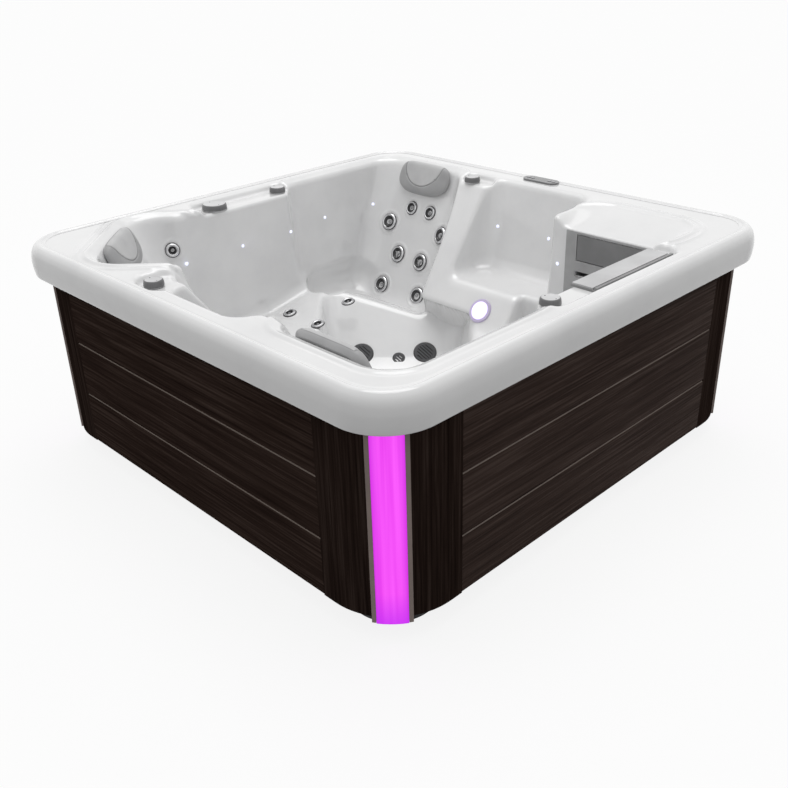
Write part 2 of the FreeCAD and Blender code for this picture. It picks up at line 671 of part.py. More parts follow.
def padOf(item, drawing, length, taper=None, reverse=False):
    feature = item.newObject("PartDesign::Pad", item.Name + "Pad")
    feature.Profile = drawing
    feature.setExpression("Length", length)
    feature.Reversed = reverse
    if taper:
        feature.setExpression("TaperAngle", taper)
    drawing.Visibility = False
    return feature


def pocketOf(item, drawing, length, reverse=False):
    feature = item.newObject("PartDesign::Pocket", item.Name + "Pocket")
    feature.Profile = drawing
    feature.setExpression("Length", length)
    feature.Reversed = reverse
    return feature


def aroundTub(item, drawing, originals, count=4):
    feature = item.newObject("PartDesign::PolarPattern", item.Name + "Around")
    feature.Originals = originals
    feature.Axis = (drawing, ["N_Axis"])
    feature.Angle = 360
    feature.Occurrences = count
    item.Tip = feature
    return feature


def rectangle(left, right, low, high):
    return [(left, low), (right, low), (right, high), (left, high)]


# Base pan: a flat tray with four corner feet and four feet under the middle of the sides.
item = body("base_pan")
tray = sketchOn(item, "XY_Plane", "Sizes.trayTop - Sizes.trayThick")
edge = "Sizes.trayHalf"
nook = "(Sizes.trayHalf - Sizes.trayCorner)"
outlineIn(tray, [("-" + nook, "-" + edge), (nook, "-" + edge), (edge, "-" + nook), (edge, nook), (nook, edge),
                 ("-" + nook, edge), ("-" + edge, nook), ("-" + edge, "-" + nook)],
          {1: "Sizes.trayCorner", 3: "Sizes.trayCorner", 5: "Sizes.trayCorner", 7: "Sizes.trayCorner"})
padOf(item, tray, "Sizes.trayThick")
feet = sketchOn(item, "XY_Plane", "Sizes.trayTop - Sizes.trayThick")
far = "(Sizes.trayHalf - Sizes.footInset)"
near = "(Sizes.trayHalf - Sizes.footInset - Sizes.cornerFoot)"
outlineIn(feet, [(near, near), (far, near), (far, far + " - Sizes.footCorner"),
                 (far + " - Sizes.footCorner", far), (near, far)], {2: "Sizes.footCorner"})
middleFeet = sketchOn(item, "XY_Plane", "Sizes.trayTop - Sizes.trayThick")
outlineIn(middleFeet, rectangle(far + " - Sizes.midFootDeep", far,
                                "-Sizes.midFootLong / 2", "Sizes.midFootLong / 2"))
footPads = [padOf(item, one, "Sizes.trayTop - Sizes.trayThick", "-Sizes.footTaper", True)
            for one in (feet, middleFeet)]
aroundTub(item, feet, footPads)

# Cabinet frame: rails and studs behind the boards.
item = body("frame_rails")
rails = sketchOn(item, "XY_Plane", "Sizes.trayTop")
inside = "(Sizes.skirtHalf - Sizes.plankThick)"
outlineIn(rails, rectangle(inside + " - Sizes.studDeep", inside, "-Sizes.railHalf", "Sizes.railHalf"))
lowRail = padOf(item, rails, "Sizes.railHigh")
highRails = sketchOn(item, "XY_Plane", "Sizes.railTop - Sizes.railHigh")
outlineIn(highRails, rectangle(inside + " - Sizes.studDeep", inside, "-Sizes.railHalf", "Sizes.railHalf"))
highRail = padOf(item, highRails, "Sizes.railHigh")
aroundTub(item, rails, [lowRail, highRail])

item = body("frame_studs")
studs = sketchOn(item, "XY_Plane", "Sizes.trayTop + Sizes.railHigh")
for low, high in (("-Sizes.railHalf", "-Sizes.railHalf + Sizes.studWide"),
                  ("-Sizes.studWide / 2", "Sizes.studWide / 2"),
                  ("Sizes.railHalf - Sizes.studWide", "Sizes.railHalf")):
    outlineIn(studs, rectangle(inside + " - Sizes.studDeep", inside, low, high))
aroundTub(item, studs, [padOf(item, studs, "Sizes.railTop - 2 * Sizes.railHigh - Sizes.trayTop")])

# Skirts: three bevelled boards on each side, stiles at their ends and bent posts at the corners.
seam = "(Sizes.skirtHalf - Sizes.postRadius)"
boardHalf = "(%s - Sizes.stileWide - Sizes.seamGap)" % seam
lowSeam = "Sizes.skirtBottom + Sizes.firstPlank"
highSeam = lowSeam + " + Sizes.plankPitch"
boardLevels = [("Sizes.skirtBottom", lowSeam), (lowSeam, highSeam), (highSeam, "Sizes.skirtTop")]
skirtLabels = ("right_skirt_boards", "rear_skirt_boards", "left_skirt_boards", "front_skirt_boards")
for turn, label in enumerate(skirtLabels):
    item = body(label)
    boards = sketchOn(item, "XZ_Plane", "-" + boardHalf)
    back = inside
    face = "Sizes.skirtHalf"
    for low, high in boardLevels:
        low, high = "(%s + Sizes.plankGap / 2)" % low, "(%s - Sizes.plankGap / 2)" % high
        outlineIn(boards, [(back, low), (face + " - Sizes.plankBevel", low),
                           (face, low + " + Sizes.plankBevel"), (face, high + " - Sizes.plankBevel"),
                           (face + " - Sizes.plankBevel", high), (back, high)])
    padOf(item, boards, "2 * " + boardHalf)
    item.Placement = Placement(Vector(), Rotation(Vector(0, 0, 1), 90 * turn))

item = body("skirt_end_stiles")
stiles = sketchOn(item, "XY_Plane", "Sizes.skirtBottom")
for low, high in (("-" + seam, "-(%s - Sizes.stileWide)" % seam), ("(%s - Sizes.stileWide)" % seam, seam)):
    outlineIn(stiles, rectangle(inside, "Sizes.skirtHalf", low, high))
aroundTub(item, stiles, [padOf(item, stiles, "Sizes.skirtTop - Sizes.skirtBottom")])

item = body("corner_posts")
posts = sketchOn(item, "XY_Plane", "Sizes.skirtBottom")
start = "(%s + Sizes.seamGap)" % seam
outlineIn(posts, [(inside, start), ("Sizes.skirtHalf", start), (start, "Sizes.skirtHalf"), (start, inside)],
          {1: "Sizes.postRadius - Sizes.seamGap",
           3: "-(Sizes.postRadius - Sizes.postThick - Sizes.seamGap)"})
aroundTub(item, posts, [padOf(item, posts, "Sizes.skirtTop - Sizes.skirtBottom")])


def band(item, level, half, inner, outer, start=None):
    """Sketch of a curved band in front of a corner post, either side of the diagonal or beside start."""
    drawing = sketchOn(item, "XY_Plane", level)
    centre = "(Sizes.skirtHalf - Sizes.postRadius + Sizes.seamGap) * sqrt(2)"

    def corner(radius, side):
        return "(%s + sqrt((%s)^2 - (%s)^2))" % (centre, radius, side), side

    sides = [(half, "-(%s)" % half)] if start is None else [(half, start), ("-(%s)" % start, "-(%s)" % half)]
    for high, low in sides:
        outlineIn(drawing, [corner(outer, low), corner(outer, high), corner(inner, high), corner(inner, low)],
                  {0: outer, 2: "-(%s)" % inner})
    return drawing


item = body("corner_light_strips")
inner = "(Sizes.postRadius - Sizes.seamGap + Sizes.stripClear)"
outer = "(Sizes.postRadius - Sizes.seamGap + Sizes.stripThick)"
strips = band(item, "Sizes.skirtBottom - Sizes.stripDrop", "Sizes.stripWide / 2", inner, outer)
aroundTub(item, strips, [padOf(item, strips, "Sizes.skirtTop - Sizes.skirtBottom + Sizes.stripDrop")])
item.Placement = Placement(Vector(), Rotation(Vector(0, 0, 1), 45))
item = body("corner_light_trims")
outer = "(Sizes.postRadius - Sizes.seamGap + Sizes.trimThick)"
trimStart = "(Sizes.stripWide / 2 + Sizes.stripClear)"
trims = band(item, "Sizes.skirtBottom - Sizes.trimDrop", trimStart + " + Sizes.trimWide",
             inner, outer, trimStart)
aroundTub(item, trims, [padOf(item, trims, "Sizes.skirtTop - Sizes.skirtBottom + Sizes.trimDrop")])
item.Placement = Placement(Vector(), Rotation(Vector(0, 0, 1), 45))

# Topside panel: oval housing through the rim, display and four buttons.
panelSeat = Placement(panelPlace, Rotation())
item = body("control_panel_housing")


def ovalIn(drawing, long, wide):
    reach = "((%s - %s) / 2)" % (long, wide)
    side = "%s / 2" % wide
    outlineIn(drawing, [("-" + reach, "-" + side), (reach, "-" + side), (reach, side), ("-" + reach, side)],
              {1: side, 3: side})


oval = sketchOn(item, "XY_Plane")
ovalIn(oval, "Sizes.panelLong", "Sizes.panelWide")
padOf(item, oval, "Sizes.panelHigh")
below = sketchOn(item, "XY_Plane")
ovalIn(below, "Sizes.panelBoxLong", "Sizes.panelBoxWide")
padOf(item, below, "Sizes.panelBox", None, True)
window = sketchOn(item, "XY_Plane", "Sizes.panelHigh")
displaySide = "Sizes.displayLong / 2 + Sizes.pillowRest"
displayEnd = "Sizes.displayWide / 2 + Sizes.pillowRest"
outlineIn(window, rectangle("-(%s)" % displaySide, displaySide, "-(%s)" % displayEnd, displayEnd))
pocketOf(item, window, "Sizes.displayHigh")
bores = sketchOn(item, "XY_Plane", "Sizes.panelHigh")
buttonPlaces = {"button_far_left": "-Sizes.buttonFar", "button_left": "-Sizes.buttonNear",
                "button_right": "Sizes.buttonNear", "button_far_right": "Sizes.buttonFar"}
for formula in buttonPlaces.values():
    circleIn(bores, "Sizes.buttonRadius + Sizes.runningGap", formula)
boreDeep = "Sizes.buttonDeep - Sizes.buttonProud + Sizes.buttonTravel + Sizes.runningGap"
item.Tip = pocketOf(item, bores, boreDeep)
item.Placement = panelSeat

item = body("panel_display")
glass = sketchOn(item, "XY_Plane", "Sizes.panelHigh - Sizes.displayHigh")
outlineIn(glass, rectangle("-Sizes.displayLong / 2", "Sizes.displayLong / 2",
                           "-Sizes.displayWide / 2", "Sizes.displayWide / 2"))
padOf(item, glass, "Sizes.displayHigh")
item.Placement = panelSeat
for label, formula in buttonPlaces.items():
    button = doc.addObject("Part::Cylinder", label)
    button.Label = label
    bind(button, Radius="Sizes.buttonRadius", Height="Sizes.buttonDeep")
    foot = size("panelHigh") + size("buttonProud") - size("buttonDeep")
    button.Placement = Placement(panelPlace + Vector(worth(formula), 0, foot), Rotation())
    made[label] = button

# Skimmer: front plate with a weir opening and a slot, the flap, and the housing behind the wall.
plateY = "(%s * Sizes.basinHalf)" % hollowShares["legs"][1][3]
left = "(Sizes.plateLeft + Sizes.postWide + Sizes.boxWall)"
right = "(Sizes.plateLeft + Sizes.plateWide - Sizes.postWide - Sizes.boxWall)"
doorEdge = "(Sizes.podLip - Sizes.lipBar)"
barEdge = "(%s - Sizes.weirHigh - 2 * Sizes.weirGap)" % doorEdge
slotEdge = "(%s - Sizes.barHigh)" % barEdge
item = body("skimmer_plate")
plate = sketchOn(item, "XZ_Plane", "-" + plateY)
outlineIn(plate, rectangle("Sizes.plateLeft", "(Sizes.plateLeft + Sizes.plateWide)",
                           "Sizes.podLip - Sizes.plateHigh", "Sizes.podLip"))
outlineIn(plate, rectangle(left, right, barEdge, doorEdge))
outlineIn(plate, rectangle(left, right, slotEdge + " - Sizes.slotHigh", slotEdge))
padOf(item, plate, "Sizes.plateThick")

item = body("skimmer_weir")
flap = sketchOn(item, "XZ_Plane", "-(%s - (Sizes.plateThick - Sizes.weirThick) / 2)" % plateY)
outlineIn(flap, rectangle(left + " + Sizes.weirGap", right + " - Sizes.weirGap",
                          barEdge + " + Sizes.weirGap", doorEdge + " - Sizes.weirGap"))
padOf(item, flap, "Sizes.weirThick")
pins = sketchOn(item, "YZ_Plane", left + " + Sizes.pillowRest")
circleIn(pins, "Sizes.weirThick / 2", "(%s - Sizes.plateThick / 2)" % plateY,
         "(%s + Sizes.weirGap + Sizes.weirPin)" % barEdge)
padOf(item, pins, right + " - " + left + " - 2 * Sizes.pillowRest")

boxWall = size("boxWall")
boxFront = plateFace + wall
boxBack = boxFront + size("boxDeep")
boxTop = plateTop - wall
boxFloor = boxTop - size("boxHigh")
shelf = boxTop - size("shelfDrop")
filterX = (doorLeft + doorRight) / 2
filterY = (boxFront + boxBack) / 2
housing = box(doorLeft - boxWall, doorRight + boxWall, boxFront, boxBack, boxFloor, boxTop)
innerFront = boxFront + boxWall
innerBack = boxBack - boxWall
innerTop = boxTop - boxWall
seatRadius = size("basketRadius") - size("basketRim")
housing = cut(housing, [box(doorLeft, doorRight, innerFront, innerBack, boxFloor + boxWall, shelf - boxWall),
                        box(doorLeft, doorRight, innerFront, innerBack, shelf, innerTop),
                        box(doorLeft, doorRight, boxFront - over, innerFront, slotBottom, innerTop),
                        rod(seatRadius, shelf - over, shelf + over, filterX, filterY)])
keep("skimmer_housing", housing)

# Basket: a slotted cup with a rim and a bridge to lift it by.
basketTop = shelf + size("basketHigh")
radius = size("basketRadius")
thin = size("basketWall")
brim = size("basketRim")
basket = revolved([(0, shelf), (radius - brim, shelf), (radius, basketTop - thin),
                   (radius + brim, basketTop - thin), (radius + brim, basketTop),
                   (radius - thin, basketTop), (radius - brim - thin, shelf + thin), (0, shelf + thin)])
slot = size("basketSlot") / 2
side = box(radius / 2, radius + thin, -slot, slot, shelf + 2 * brim, basketTop - 2 * brim)
base = box(size("coreRadius"), radius - 2 * brim, -slot / 2, slot / 2, shelf - thin, shelf + 2 * thin)
tools = []
for k in range(12):
    tools.append(turned(side, k * 30))
    tools.append(turned(base, k * 30))
basket = cut(basket, tools)
bridge = box(-radius + thin / 2, radius - thin / 2, -slot, slot, basketTop - size("handleHigh"), basketTop)
basket = basket.fuse(bridge)
basket.translate(Vector(filterX, filterY, 0))
keep("filter_basket", basket)

# Cartridge: pleated sleeve between two caps, open down the middle.
pleats = 24
low = boxFloor + boxWall
high = low + size("cartridgeHigh")
cap = size("capHigh")
radius = size("cartridgeRadius")
crest = [radius - (k % 2) * size("pleatDeep") for k in range(2 * pleats)]
star = [Vector(r * math.cos(k * math.pi / pleats), r * math.sin(k * math.pi / pleats), low + cap)
        for k, r in enumerate(crest)]
sleeve = Part.Face(Part.makePolygon(star + star[:1])).extrude(Vector(0, 0, high - low - 2 * cap))
cartridge = sleeve.fuse([rod(radius, low, low + cap), rod(radius, high - cap, high)])
cartridge = cartridge.cut(rod(size("coreRadius"), low - over, high + over))
cartridge.translate(Vector(filterX, filterY, 0))
keep("filter_cartridge", cartridge)

# Waterfall bar on the right ledge, its middle as shares of basinHalf.
fallShares = (0.988, 0.304)
fall = Vector(fallShares[0] * half, fallShares[1] * half, ledgeLevel)
item = body("waterfall_housing")
base = sketchOn(item, "XY_Plane")
outlineIn(base, rectangle("-Sizes.fallWide / 2", "Sizes.fallWide / 2",
                          "-Sizes.fallLong / 2", "Sizes.fallLong / 2"))
padOf(item, base, "Sizes.fallHigh")
rise = sketchOn(item, "XY_Plane", "Sizes.fallHigh")
outlineIn(rise, rectangle("Sizes.fallWide / 2 - Sizes.fallLip", "Sizes.fallWide / 2",
                          "-Sizes.fallLong / 2", "Sizes.fallLong / 2"))
padOf(item, rise, "Sizes.fallLensHigh + Sizes.fallEdge")
item.Placement = Placement(fall, Rotation())
item = body("waterfall_lens")
bar = sketchOn(item, "XY_Plane", "Sizes.fallHigh")
lensSide = "-Sizes.fallWide / 2 + Sizes.fallEdge"
outlineIn(bar, rectangle(lensSide, lensSide + " + Sizes.fallLensWide",
                         "-Sizes.fallLong / 2 + Sizes.fallEdge", "Sizes.fallLong / 2 - Sizes.fallEdge"))
padOf(item, bar, "Sizes.fallLensHigh")
item.Placement = Placement(fall, Rotation())


def roundedWire(points, radius, level):
    """Convex outline with an arc of one radius at each corner."""
    edges = []
    ends = []
    for i, here in enumerate(points):
        back = (points[i - 1] - here).normalize()
        ahead = (points[(i + 1) % len(points)] - here).normalize()
        opening = back.getAngle(ahead)
        reach = radius / math.tan(opening / 2)
        middle = here + (back + ahead).normalize() * (radius / math.sin(opening / 2) - radius)
        arc = Part.Arc(here + back * reach, middle, here + ahead * reach)
        ends.append((here + back * reach, here + ahead * reach))
        edges.append(arc.toShape())
    count = len(points)
    loop = []
    for i in range(count):
        loop.append(edges[i])
        loop.append(Part.makeLine(ends[i][1], ends[(i + 1) % count][0]))
    wire = Part.Wire(loop)
    wire.translate(Vector(0, 0, level))
    return wire


# Pillows: tapered pads with drawn-in sides and a crowned face.
def pillowSolid():
    thick = size("pillowThick")
    tuck = size("pillowTuck")
    wide = size("pillowWide") / 2
    narrow = size("pillowNarrow") / 2
    high = size("pillowHigh") / 2
    corner = size("pillowCorner")
    # Each section: share of the thickness and share of the tuck by which its outline is drawn in.
    sectionShares = ((0.0, 0.6), (0.25, 0.0), (0.6, 0.1), (0.85, 0.8), (1.0, 2.2))
    wires = []
    for heightShare, tuckShare in sectionShares:
        inset = tuckShare * tuck
        points = [Vector(-narrow + inset, -high + inset, 0), Vector(narrow - inset, -high + inset, 0),
                  Vector(wide - inset, high - inset, 0), Vector(-wide + inset, high - inset, 0)]
        wires.append(roundedWire(points, corner - inset / 2, size("pillowRest") + heightShare * thick))
    return Part.makeLoft(wires, True, False)


pillowShares = {
    "pillow_far": ("bucket", 0, -0.692, 0.960, 0.922),
    "pillow_front": ("bucket", 180, 0.692, -0.960, 0.922),
    "pillow_left": ("cornerSeat", 0, -0.840, -0.840, 0.922),
}
pad = pillowSolid()
pillowSpots = {}
for name, (place, turn, x, y, level) in pillowShares.items():
    spot, normal = wallSpot(place, turn, x * half, y * half, level * rimTop)
    across = Vector(0, 0, 1).cross(normal).normalize()
    copy = pad.copy()
    copy.Placement = Placement(spot, Rotation(across, normal.cross(across), normal, "ZXY"))
    keep(name, copy)
    pillowSpots[name] = (spot, normal)

# Equipment on the tray.
motorLevel = "(Sizes.trayTop + Sizes.cradleHigh + Sizes.motorRadius)"
item = body("pump_motor")
drum = sketchOn(item, "YZ_Plane", "-Sizes.pumpEnd")
circleIn(drum, "Sizes.motorRadius", "-Sizes.pumpSide", motorLevel)
padOf(item, drum, "Sizes.motorLong")
cradle = sketchOn(item, "YZ_Plane", "-Sizes.pumpEnd + (Sizes.motorLong - Sizes.cradleLong) / 2")
outlineIn(cradle, rectangle("-Sizes.pumpSide - Sizes.motorRadius / 2",
                            "-Sizes.pumpSide + Sizes.motorRadius / 2",
                            "Sizes.trayTop", motorLevel + " - Sizes.motorRadius / 2"))
padOf(item, cradle, "Sizes.cradleLong")

item = body("pump_wet_end")
volute = sketchOn(item, "YZ_Plane", "-Sizes.pumpEnd + Sizes.motorLong")
circleIn(volute, "Sizes.wetRadius", "-Sizes.pumpSide", motorLevel)
padOf(item, volute, "Sizes.wetLong")
outlet = sketchOn(item, "XY_Plane", motorLevel)
wetMiddle = "-Sizes.pumpEnd + Sizes.motorLong + Sizes.wetLong / 2"
circleIn(outlet, "Sizes.unionRadius", wetMiddle, "-Sizes.pumpSide")
padOf(item, outlet, "Sizes.wetRadius + Sizes.unionLong")

item = body("heater_tube")
tube = sketchOn(item, "YZ_Plane", "-Sizes.heaterEast - Sizes.heaterLong")
circleIn(tube, "Sizes.heaterRadius", "-Sizes.pumpSide", "Sizes.heaterLevel")
padOf(item, tube, "Sizes.heaterLong")
unions = sketchOn(item, "YZ_Plane", "-Sizes.heaterEast - Sizes.heaterLong - Sizes.unionLong")
circleIn(unions, "Sizes.unionRadius", "-Sizes.pumpSide", "Sizes.heaterLevel")
padOf(item, unions, "Sizes.heaterLong + 2 * Sizes.unionLong")

item = body("control_box")
case = sketchOn(item, "XY_Plane", "Sizes.trayTop")
outlineIn(case, rectangle("-Sizes.controlLong / 2", "Sizes.controlLong / 2", "-Sizes.controlSide",
                          "-Sizes.controlSide + Sizes.controlWide"))
padOf(item, case, "Sizes.controlHigh - Sizes.lidHigh")
lid = sketchOn(item, "XY_Plane", "Sizes.trayTop + Sizes.controlHigh - Sizes.lidHigh")
lidSide = "(Sizes.controlLong / 2 + Sizes.boxWall)"
outlineIn(lid, rectangle("-" + lidSide, lidSide, "-Sizes.controlSide - Sizes.boxWall",
                         "-Sizes.controlSide + Sizes.controlWide + Sizes.boxWall"))
padOf(item, lid, "Sizes.lidHigh")

item = body("air_blower")
pot = sketchOn(item, "XY_Plane", "Sizes.trayTop")
circleIn(pot, "Sizes.blowerRadius", "Sizes.blowerX", "Sizes.blowerY")
padOf(item, pot, "Sizes.blowerHigh")
nozzle = sketchOn(item, "XY_Plane", "Sizes.trayTop + Sizes.blowerHigh")
circleIn(nozzle, "Sizes.pipeRadius", "Sizes.blowerX", "Sizes.blowerY")
padOf(item, nozzle, "Sizes.blowerNozzle")


def pipe(start, turnPoint, end):
    """Round pipe through one bend."""
    back = (start - turnPoint).normalize()
    ahead = (end - turnPoint).normalize()
    bend = size("bendRadius")
    middle = turnPoint + (back + ahead).normalize() * (bend * math.sqrt(2) - bend)
    arc = Part.Arc(turnPoint + back * bend, middle, turnPoint + ahead * bend).toShape()
    path = Part.Wire([Part.makeLine(start, turnPoint + back * bend), arc,
                      Part.makeLine(turnPoint + ahead * bend, end)])
    ring = Part.Wire([Part.makeCircle(size("pipeRadius"), start, back)])
    return path.makePipeShell([ring], True, True)


pumpX = worth(wetMiddle)
pumpTop = worth(motorLevel) + size("wetRadius") + size("unionLong")
heaterEnd = size("unionLong") - size("heaterEast")
heaterStart = heaterEnd - size("heaterLong") - 2 * size("unionLong")
line = -size("pumpSide")
level = size("heaterLevel")
corner = heaterEnd + 2 * size("unionLong") + size("boxWall")
feed = pipe(Vector(pumpX, line, pumpTop), Vector(pumpX, line, level), Vector(heaterStart, line, level))
back = pipe(Vector(heaterEnd, line, level), Vector(corner, line, level),
            Vector(corner, line, level - size("returnLong")))
keep("water_pipes", Part.makeCompound([feed, back]))

doc.recompute()
for name, (kind, (place, normal), stand) in jetSpots.items():
    print("hinge", "jet_insert_" + name, [round(v, 3) for v in place], [round(v, 5) for v in normal])
for name, (place, normal) in pillowSpots.items():
    print("slide", name, [round(v, 3) for v in place], [round(v, 5) for v in normal])
for name, place in knobPlaces.items():
    print("hinge", name, [round(v, 3) for v in place])
print("panel", panelPlace, "filter", filterX, filterY, "weir", plateFace - size("plateThick") / 2,
      worth("%s + Sizes.weirGap + Sizes.weirPin" % barEdge))

failed = [o.Label for o in doc.Objects if "Invalid" in o.State or "Error" in o.State]
if failed:
    raise RuntimeError("failed: %s" % failed)
for label, feature in made.items():
    if feature.Shape.isNull() or not feature.Shape.isValid():
        raise RuntimeError("no valid shape: %s" % label)
os.makedirs("parts", exist_ok=True)
for label, feature in made.items():
    feature.Shape.exportStep("parts/%s.step" % label)
    print(label, len(feature.Shape.Solids), round(feature.Shape.Volume))
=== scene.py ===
import bpy, json, math
import numpy as np
from mathutils import Matrix, Vector


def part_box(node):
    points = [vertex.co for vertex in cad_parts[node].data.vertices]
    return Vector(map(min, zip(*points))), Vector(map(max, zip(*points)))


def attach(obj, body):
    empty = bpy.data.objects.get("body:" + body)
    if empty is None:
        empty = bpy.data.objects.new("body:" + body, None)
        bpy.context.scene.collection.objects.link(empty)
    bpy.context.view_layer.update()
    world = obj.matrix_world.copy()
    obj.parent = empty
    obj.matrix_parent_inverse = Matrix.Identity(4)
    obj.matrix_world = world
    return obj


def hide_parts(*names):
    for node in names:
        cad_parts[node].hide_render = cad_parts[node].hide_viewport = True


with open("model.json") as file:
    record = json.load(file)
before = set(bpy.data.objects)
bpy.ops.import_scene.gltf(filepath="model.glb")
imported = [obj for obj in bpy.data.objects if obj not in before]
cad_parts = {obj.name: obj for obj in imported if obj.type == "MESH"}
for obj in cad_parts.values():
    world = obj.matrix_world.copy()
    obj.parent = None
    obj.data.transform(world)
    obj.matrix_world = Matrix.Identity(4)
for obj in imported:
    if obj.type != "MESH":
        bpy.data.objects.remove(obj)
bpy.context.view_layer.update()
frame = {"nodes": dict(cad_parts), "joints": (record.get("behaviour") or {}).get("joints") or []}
nodes = frame["nodes"]
print("frame loaded:", len(nodes), "nodes")

# camera solved from the square rim and the upright corners
cameraSet = dict(place=(2.4232, -2.3293, 1.8736), azimuth=46.196, elevation=27.151, roll=-1.737, lens=42.80)
a, e, r = (math.radians(cameraSet[k]) for k in ("azimuth", "elevation", "roll"))
back = Vector((math.sin(a) * math.cos(e), -math.cos(a) * math.cos(e), math.sin(e)))
level = Vector((0, 0, 1)).cross(back).normalized()
upright = back.cross(level)
right = level * math.cos(r) + upright * math.sin(r)
top = back.cross(right)
turn = Matrix((right, top, back)).transposed().to_4x4()
lensData = bpy.data.cameras.new("camera")
lensData.sensor_width = 36
lensData.lens = cameraSet["lens"]
camera = bpy.data.objects.new("camera", lensData)
camera.matrix_world = Matrix.Translation(cameraSet["place"]) @ turn
bpy.context.scene.collection.objects.link(camera)
bpy.context.scene.camera = camera
bpy.context.scene.view_settings.view_transform = "Standard"


# a socket's value: an expression on it adds its Math nodes
class Value:
    def __init__(self, shader, socket):
        self.shader, self.socket = shader, socket

    def __add__(self, other):
        return self.shader.math("ADD", self, other)

    def __sub__(self, other):
        return self.shader.math("SUBTRACT", self, other)

    def __rsub__(self, other):
        return self.shader.math("SUBTRACT", other, self)

    def __mul__(self, other):
        return self.shader.math("MULTIPLY", self, other)

    def __truediv__(self, other):
        return self.shader.math("DIVIDE", self, other)

    def __abs__(self):
        return self.shader.math("ABSOLUTE", self)


# a node whose outputs are taken by name or number
class Node:
    def __init__(self, shader, node):
        self.shader, self.node = shader, node

    def out(self, name):
        return Value(self.shader, self.node.outputs[name])


# a material or world being written; add() makes any node from its type, settings and socket values or links
class Shader:
    def __init__(self, name, owner=None):
        self.owner = owner or bpy.data.materials.new(name)
        self.owner.use_nodes = True
        self.tree = self.owner.node_tree
        self.tree.nodes.clear()

    def add(self, kind, settings=None, sockets=None):
        node = self.tree.nodes.new("ShaderNode" + kind)
        for name, value in (settings or {}).items():
            if name == "stops":
                ramp = node.color_ramp.elements
                while len(ramp) < len(value):
                    ramp.new(0.5)
                for element, (at, colour) in zip(ramp, value):
                    element.position = at
                    element.color = (*colour, 1.0)
            else:
                setattr(node, name, value)
        for name, value in (sockets or {}).items():
            if isinstance(value, Value):
                self.tree.links.new(value.socket, node.inputs[name])
            else:
                node.inputs[name].default_value = value
        return Node(self, node)

    def math(self, operation, a, b=0.0):
        return self.add("Math", {"operation": operation}, {0: a, 1: b}).out(0)

    def spot(self):
        return self.add("TexCoord").out("Object")

    def place(self, scale=(1, 1, 1)):
        return self.add("Mapping", None, {"Vector": self.spot(), "Scale": scale}).out("Vector")

    def noise(self, vector, scale, detail, rough=0.5):
        sockets = {"Vector": vector, "Scale": scale, "Detail": detail, "Roughness": rough}
        return self.add("TexNoise", None, sockets).out("Fac")

    def ramp(self, value, stops):
        return self.add("ValToRGB", {"stops": stops}, {"Fac": value}).out("Color")

    def between(self, value, low, high):
        return self.add("MapRange", {"clamp": True}, {"Value": value, 1: low, 2: high}).out("Result")

    def blend(self, factor, a, b):
        return self.add("Mix", {"data_type": "RGBA"}, {0: factor, 6: a, 7: b}).out(2)

    def bump(self, height, strength, distance):
        sockets = {"Height": height, "Strength": strength, "Distance": distance}
        return self.add("Bump", None, sockets).out("Normal")

    def surface(self, **sockets):
        names = {key.replace("_", " "): value for key, value in sockets.items()}
        main = self.add("BsdfPrincipled", None, names).out("BSDF")
        self.add("OutputMaterial", None, {"Surface": main})
        return self.owner


def rgba(colour, gain=1.0):
    return tuple(min(c * gain, 1.0) for c in colour) + (1.0,)


plasticSet = dict(drift=7.0, mottle=0.12, glossSpread=0.16, coatRough=0.08, grainDeep=0.0006)


def plastic(name, colour, rough, grain=220.0, bump=0.15, coat=0.0, specular=0.4):
    # moulded plastic or paint: soft tone drift, uneven gloss and a fine leather grain
    s = Shader(name)
    spot = s.place()
    drift = s.noise(spot, plasticSet["drift"], 4.0)
    fine = s.noise(spot, grain, 2.0)
    mottle = plasticSet["mottle"]
    tone = s.blend(s.between(drift, 0.35, 0.65), rgba(colour, 1 - mottle), rgba(colour, 1 + mottle))
    spread = plasticSet["glossSpread"]
    return s.surface(Base_Color=tone, Roughness=drift * spread + (rough - spread / 2), Coat_Weight=coat,
                     Coat_Roughness=plasticSet["coatRough"], Specular_IOR_Level=specular,
                     Normal=s.bump(fine, bump, plasticSet["grainDeep"]))


steelSet = dict(colour=(0.62, 0.62, 0.63), along=(900, 900, 40), patches=26.0)


def steel(name, rough=0.2):
    # polished sheet metal with faint drawing lines and dulled patches
    s = Shader(name)
    lines = s.noise(s.place(steelSet["along"]), 1.0, 2.0)
    smear = s.noise(s.place(), steelSet["patches"], 3.0)
    tone = s.blend(smear, rgba(steelSet["colour"], 0.86), rgba(steelSet["colour"], 1.1))
    return s.surface(Base_Color=tone, Metallic=1.0, Roughness=smear * 0.14 + lines * 0.1 + (rough - 0.1),
                     Normal=s.bump(lines, 0.08, 0.0003))


acrylicSet = dict(pearl=3.2, waves=9.0, peel=260.0, dust=34.0, deep=0.004,
                  tones=[(0.3, (0.73, 0.73, 0.735)), (0.5, (0.78, 0.78, 0.782)), (0.72, (0.81, 0.81, 0.81))])


def acrylicFinish():
    # white acrylic sheet: a pearl drift under a clear gloss, with the slow waves of a formed sheet
    s = Shader("acrylic_white")
    spot = s.place()
    pearl = s.noise(spot, acrylicSet["pearl"], 5.0, 0.6)
    waves = s.noise(spot, acrylicSet["waves"], 1.0)
    peel = s.noise(spot, acrylicSet["peel"], 1.0)
    dust = s.noise(spot, acrylicSet["dust"], 6.0, 0.7)
    height = waves * 0.9 + peel * 0.04
    return s.surface(Base_Color=s.ramp(pearl, acrylicSet["tones"]), Coat_Weight=0.7, Coat_Roughness=0.05,
                     Roughness=s.between(dust, 0.3, 0.8) * 0.1 + 0.1, Specular_IOR_Level=0.5,
                     Normal=s.bump(height, 0.25, acrylicSet["deep"]))


